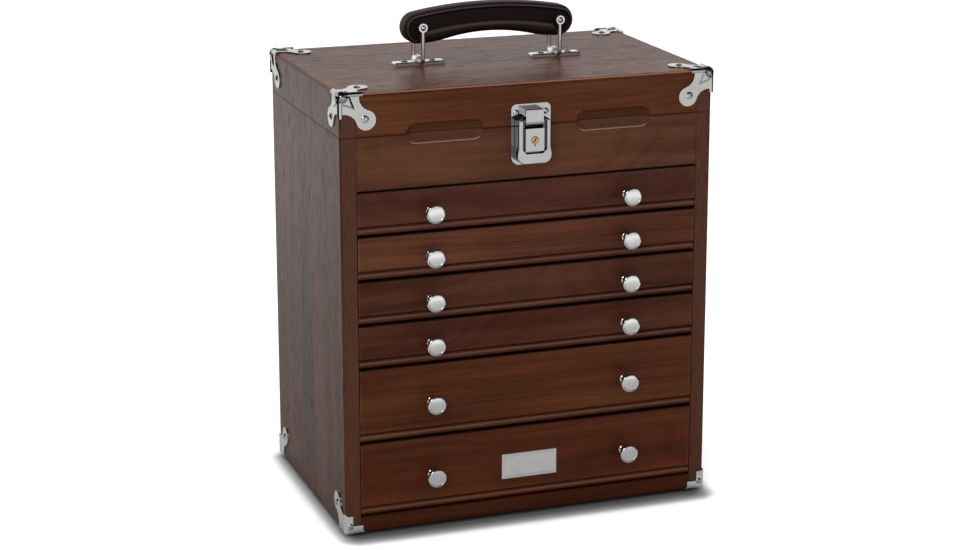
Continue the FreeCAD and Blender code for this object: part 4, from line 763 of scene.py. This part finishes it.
class CHEST_OT_fittings(bpy.types.Operator):
    """Dress corners, hinges, latch and handle fittings in metal"""
    bl_idname = "chest.fittings"
    bl_label = "Metal fittings"

    def execute(self, context):
        look = context.scene.chest_metal
        # The nickel is one plating; its tone in each group is set to how bright that group looks, lighter for
        # bails, saddles and bottom corners, darker for the plates and the hasp: painted light and shade.
        bright = nickel("nickel_lightened", look, look.polish + 0.2, tone=1.35)
        hasp_front, hasp_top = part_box("hasp")[0][1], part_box("hasp")[1][2]
        ball_inset, small_hole_drop = 0.0029, 0.0048

        def ball_foot(x, y, z):
            """Painted shade round the foot of each ball, whose centre lies inside the boards' faces."""
            inward = y - MIDDLE
            sideways = (x * x) ** 0.5 - (RIGHT - ball_inset)
            across = (inward * inward) ** 0.5 - (BACK - MIDDLE - ball_inset)
            upward = z - (CROWN - ball_inset)
            away = (sideways * sideways + across * across + upward * upward) ** 0.5
            return away.between(0.0054, 0.0059) * (1 - away.between(0.0064, 0.0076)) * 0.9

        def recess(x, y, z):
            """Painted shade in the grooves and flanks of the hasp, but not its upper end, and in the small
            hole.
            """
            below_lock = z - (LOCK_AXIS_Z - small_hole_drop)
            hole = 1 - ((x * x + below_lock ** 2) ** 0.5).between(0.0007, 0.0010)
            lower = 1 - z.between(hasp_top - 0.003, hasp_top - 0.001)
            return ((y - hasp_front).between(0.0012, 0.0030) * lower).most(hole) * 0.9

        pressed = nickel("nickel_pressed", look, look.polish, tone=0.76, painted_shade=ball_foot)
        low_corner = nickel("nickel_low_corners", look, look.polish, tone=1.45)
        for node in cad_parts:
            if node.startswith("corner_"):
                dress(node, low_corner if "bottom" in node else pressed)
            elif node in ("bail_left", "bail_right", "handle_saddles"):
                dress(node, bright)
            elif node in ("hinge_case_leaves", "hinge_lid_leaves", "strike_plate", "latch_base_plate"):
                dress(node, pressed)
        dress("hasp", nickel("nickel_hasp", look, look.polish, tone=0.76, painted_shade=recess))
        dress("lock_cylinder", turned_brass("brass_turned", look))
        return {"FINISHED"}


class CHEST_OT_screws(bpy.types.Operator):
    """Make the cross-recessed screws of case and lid"""
    bl_idname = "chest.screws"
    bl_label = "Screws"

    def execute(self, context):
        look = context.scene.chest_metal
        bright = nickel("nickel_screws", look, look.polish)
        large, small = look.screw, look.small_screw
        lobe, plate_inset, plate_rise = 0.0238, 0.0044, 0.0068
        hinge_x, hinge_pitch, hinge_rise, hinge_curve = 0.110, 0.050 / 3, 0.0109, 0.001
        saddle_x, saddle_pitch, saddle_rise = 0.070, 0.014, 0.003
        latch_x, latch_z, strike_x, strike_z = 0.0105, 0.3565, 0.0146, 0.3968
        case, lid = [], []
        for x, out_x in ((LEFT, -1), (RIGHT, 1)):
            skin_x = x + out_x * SHEET
            for y, out_y in ((FRONT, -1), (BACK, 1)):
                in_x, in_y, skin_y = x - out_x * lobe, y - out_y * lobe, y + out_y * SHEET
                lid.append(((in_x, in_y, CROWN + SHEET), (0, 0, 1), large))
                lid.append(((in_x, skin_y, CROWN - lobe), (0, out_y, 0), large))
                lid.append(((skin_x, in_y, CROWN - lobe), (out_x, 0, 0), large))
                case.append(((skin_x, in_y, BASE + lobe), (out_x, 0, 0), large))
                case.append(((x - out_x * plate_inset, skin_y, BASE + plate_rise), (0, out_y, 0), small))
            for place in (-1, 0, 1):
                at_x, rise = out_x * hinge_x + place * hinge_pitch, hinge_rise + abs(place) * hinge_curve
                case.append(((at_x, BACK + SHEET, HINGE_AXIS_Z - rise), (0, 1, 0), small))
                lid.append(((at_x, BACK + SHEET, HINGE_AXIS_Z + rise), (0, 1, 0), small))
            for place in (-1, 1):
                at_x = out_x * saddle_x + place * saddle_pitch
                lid.append(((at_x, MIDDLE, CROWN + saddle_rise), (0, 0, 1), large))
            case.append(((out_x * latch_x, FRONT - SHEET, latch_z), (0, -1, 0), small))
            lid.append(((out_x * strike_x, FRONT - SHEET, strike_z), (0, -1, 0), small))
        rng = np.random.default_rng(7)
        for body, seats in (("case", case), ("lid", lid)):
            heads = [seated(screw_head(radius, look.screw_rise), place, axis, float(rng.uniform(0, 1.6)))
                     for place, axis, radius in seats]
            add_piece(shell(f"screws_{body}", heads), bright, body, "fitting_nickel", f"{body}_screws")
        return {"FINISHED"}


class CHEST_OT_knobs(bpy.types.Operator):
    """Turn the twelve drawer knobs"""
    bl_idname = "chest.knobs"
    bl_label = "Knobs"

    def execute(self, context):
        look = context.scene.chest_metal
        # Tone 1.3 lightens the knobs' nickel: painted light.
        bright = nickel("nickel_knobs", look, look.polish, tone=1.3)
        for number in DRAWERS:
            node = f"drawer_{number}_knobs"
            low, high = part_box(node)
            radius, z = (high[2] - low[2]) / 2, (low[2] + high[2]) / 2
            knobs = [seated(knob_form(), (x, high[1], z), (0, -1, 0))
                     for x in (low[0] + radius, high[0] - radius)]
            add_piece(shell(f"turned_{node}", knobs), bright, f"drawer_{number}", "polished_nickel", node)
        return {"FINISHED"}


class CHEST_OT_plate(bpy.types.Operator):
    """Make the bare plate of the lowest drawer"""
    bl_idname = "chest.plate"
    bl_label = "Bare plate"

    def execute(self, context):
        look = context.scene.chest_metal
        low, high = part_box("nameplate")
        middle = np.array(((low[0] + high[0]) / 2, high[1], (low[2] + high[2]) / 2))
        form = plate_form(high[0] - low[0], high[2] - low[2]) + middle
        # Tone 1.4 lightens the plate's nickel: painted light.
        brushed = nickel("nickel_brushed", look, 0.42, satin=0.8, tone=1.4)
        add_piece(shell("bare_plate", [form], 15.0), brushed, "drawer_6", "plate_satin", "nameplate")
        return {"FINISHED"}


class CHEST_OT_grip(bpy.types.Operator):
    """Dress the carrying grip in leather and the feet in rubber"""
    bl_idname = "chest.grip"
    bl_label = "Grip and feet"

    def execute(self, context):
        look = context.scene.chest_soft
        # The second result of grip_form holds the painted highlight marks for the leather.
        form, wear_and_highlight_share = grip_form()
        grip = add_piece(shell("moulded_grip", form, 60.0, wear_and_highlight_share), leather("grip_leather", look), "grip",
                         "grip_leather", "grip")
        dress("rubber_feet", rubber("foot_rubber", look))
        return {"FINISHED"}


def aim(thing, place, target):
    """Puts a camera or lamp at a place and turns it to a target."""
    thing.location = place
    thing.rotation_mode = "QUATERNION"
    thing.rotation_quaternion = (Vector(target) - Vector(place)).to_track_quat("-Z", "Y")


def lamp(name, place, target, width, height, power):
    """White rectangular soft lamp."""
    data = bpy.data.lights.new(name, "AREA")
    data.shape = "RECTANGLE"
    data.size = width
    data.size_y = height
    data.energy = power
    thing = bpy.data.objects.new(name, data)
    bpy.context.collection.objects.link(thing)
    aim(thing, place, target)
    return thing


def card(name, corners, material, **seen_by):
    """Flat four-cornered stage piece."""
    mesh = bpy.data.meshes.new(name)
    mesh.from_pydata([tuple(c) for c in corners], [], [(0, 1, 2, 3)])
    mesh.materials.append(material)
    thing = bpy.data.objects.new(name, mesh)
    bpy.context.collection.objects.link(thing)
    for ray, seen in seen_by.items():
        setattr(thing, f"visible_{ray}", seen)
    return thing


def set_camera(look):
    """Camera at its place, turned by the azimuth and tilted down by the elevation."""
    data = bpy.data.cameras.new("camera")
    data.sensor_width = 36.0
    data.lens = look.focal
    data.shift_y = look.shift
    camera = bpy.data.objects.new("camera", data)
    bpy.context.collection.objects.link(camera)
    flat = math.cos(look.elevation)
    ahead = Vector((-math.sin(look.azimuth) * flat, math.cos(look.azimuth) * flat, -math.sin(look.elevation)))
    aim(camera, Vector(look.place), Vector(look.place) + ahead)
    bpy.context.scene.camera = camera


def pale_floor(look):
    """Pale matt floor that glows where it is seen clear of the chest, with a painted contact shadow close to
    it and painted shade in mirrors.

    The distance from the footprint starts inside its edge and is rounded at its corners.
    """
    floor = Finish("floor_pale")
    white, inside = (1, 1, 1, 1), 0.015
    speck = floor.noise(floor.place(), 3.0, 2.0)
    tint = floor.mix(speck, rgb((0.90, 0.90, 0.90)), rgb((0.93, 0.93, 0.93)))
    matt = floor.add("ShaderNodeBsdfDiffuse", None, {"Color": tint})
    x, y = floor.axes(floor.place())[:2]
    (left, front), (right, back) = [corner[:2] for corner in CAD_BOX]
    beside = ((left - x).most(x - right) + inside).most(0.0)
    before = ((front - y).most(y - back) + inside).most(0.0)
    aside = (beside * beside + before * before) ** 0.5
    glow = floor.add("ShaderNodeEmission", None, {"Color": white, "Strength": look.glow})
    lit = floor.add("ShaderNodeAddShader", None, {0: matt, 1: glow})
    # The glow stops near the footprint, so the floor there is darker than the glowing floor beyond: painted
    # shade over its rendered shadow.
    clear = floor.seen() * aside.between(0.013, 0.025)
    seen = floor.add("ShaderNodeMixShader", None, {0: clear, 1: matt, 2: lit})
    # Painted shade: in mirrors the floor is mixed with black, most near the chest, and round the footprint a
    # painted contact shadow is mixed in for every ray.
    painted_black = floor.add("ShaderNodeEmission", None, {"Color": white, "Strength": 0.0})
    near = 1 - ((x * x + y * y) ** 0.5).between(0.3, 2.0)
    contact = 1 - aside.between(0.0, 0.032)
    mirrored = floor.add("ShaderNodeLightPath", output="Is Glossy Ray")
    dark = (mirrored * (near * 0.46 + 0.2)).most(contact * 0.85)
    whole = floor.add("ShaderNodeMixShader", None, {0: dark, 1: seen, 2: painted_black})
    floor.add("ShaderNodeOutputMaterial", None, {"Surface": whole})
    return floor.material


def room(look):
    """World: white where it is seen, an even light, and for mirrors a dim front and a black zenith."""
    sky = Finish("sky", bpy.data.worlds.new("world"))
    white, low_front = (1, 1, 1, 1), 0.65
    north, up = sky.axes(sky.add("ShaderNodeTexCoord", output="Generated"))[1:]
    front = look.dim + (1 - up.between(0.12, 0.30)) * (low_front - look.dim)
    level = (front + north.between(0.1, 0.5) * (1 - front)) * (1 - up.between(0.42, 0.70) * 0.93)
    tint = sky.mix(level, rgb((0, 0, 0)), white)
    even = sky.add("ShaderNodeBackground", None, {"Color": white, "Strength": look.world})
    seen = sky.add("ShaderNodeBackground", None, {"Color": white, "Strength": 1.0})
    mirrored = sky.add("ShaderNodeBackground", None, {"Color": tint, "Strength": 1.0})
    glossy = sky.add("ShaderNodeLightPath", output="Is Glossy Ray")
    straight = sky.add("ShaderNodeMixShader", None, {0: sky.seen(), 1: even, 2: seen})
    whole = sky.add("ShaderNodeMixShader", None, {0: glossy, 1: straight, 2: mirrored})
    sky.add("ShaderNodeOutputWorld", None, {"Surface": whole})
    return sky.material


def black_card():
    """Matt black of the two cards beside the chest."""
    black = Finish("card_black")
    tooth = black.noise(black.place(), 40.0)
    tint = black.mix(tooth, rgb((0.010, 0.010, 0.010)), rgb((0.016, 0.016, 0.016)))
    return black.surface(Base_Color=tint, Roughness=0.9, Specular_IOR_Level=0.0)


class CHEST_OT_studio(bpy.types.Operator):
    """Set up the camera, the pale floor, the world, the black cards and the lamps"""
    bl_idname = "chest.studio"
    bl_label = "Studio"

    def execute(self, context):
        look = context.scene.chest_studio
        set_camera(look)
        size = 12.0
        card("floor", [(-size, -size, 0), (size, -size, 0), (size, size, 0), (-size, size, 0)],
             pale_floor(look))
        context.scene.world = room(look)
        black, start, height = black_card(), -0.8, 0.6
        for name, x, end in (("card_left", -look.card_distance, 1.2),
                             ("card_right", look.card_distance, 0.9)):
            card(name, [(x, start, 0.0), (x, end, 0.0), (x, end, height), (x, start, height)], black,
                 camera=False, diffuse=False, shadow=False, transmission=False)
        lamp("lamp_top", (-0.2, -0.1, 2.4), (0, 0, 0.3), 1.8, 1.4, 13).visible_glossy = False
        lamp("lamp_left", (-2.2, 0.6, 1.5), (0, 0, 0.25), 1.6, 1.4, 5)
        lamp("lamp_front", (-1.5, -2.3, 1.7), (0, 0, 0.25), 1.0, 0.9, 12)
        context.scene.view_settings.view_transform = "Standard"
        return {"FINISHED"}


class CHEST_PT_panel(bpy.types.Panel):
    """Lists the chest's pieces in the sidebar"""
    bl_idname = "CHEST_PT_panel"
    bl_label = "Collectors drawer chest"
    bl_space_type = "VIEW_3D"
    bl_region_type = "UI"
    bl_category = "Chest"

    def draw(self, context):
        for operator in OPERATORS:
            self.layout.operator(operator.bl_idname)
        for name in LOOKS:
            group = getattr(context.scene, name)
            for key in group.__annotations__:
                self.layout.prop(group, key)


LOOKS = {"chest_walnut": WalnutLook, "chest_metal": MetalLook, "chest_soft": SoftLook,
         "chest_studio": StudioLook}
OPERATORS = (CHEST_OT_boards, CHEST_OT_drawers, CHEST_OT_linings, CHEST_OT_fittings, CHEST_OT_screws,
             CHEST_OT_knobs, CHEST_OT_plate, CHEST_OT_grip, CHEST_OT_studio)


def register():
    for kind in (*LOOKS.values(), *OPERATORS, CHEST_PT_panel):
        bpy.utils.register_class(kind)
    for name, kind in LOOKS.items():
        setattr(bpy.types.Scene, name, bpy.props.PointerProperty(type=kind))


def unregister():
    for name in LOOKS:
        delattr(bpy.types.Scene, name)
    for kind in reversed((*LOOKS.values(), *OPERATORS, CHEST_PT_panel)):
        bpy.utils.unregister_class(kind)


def main():
    """Runs every operator in order."""
    register()
    for operator in OPERATORS:
        group, name = operator.bl_idname.split(".")
        getattr(getattr(bpy.ops, group), name)()


if __name__ == "__main__":
    main()
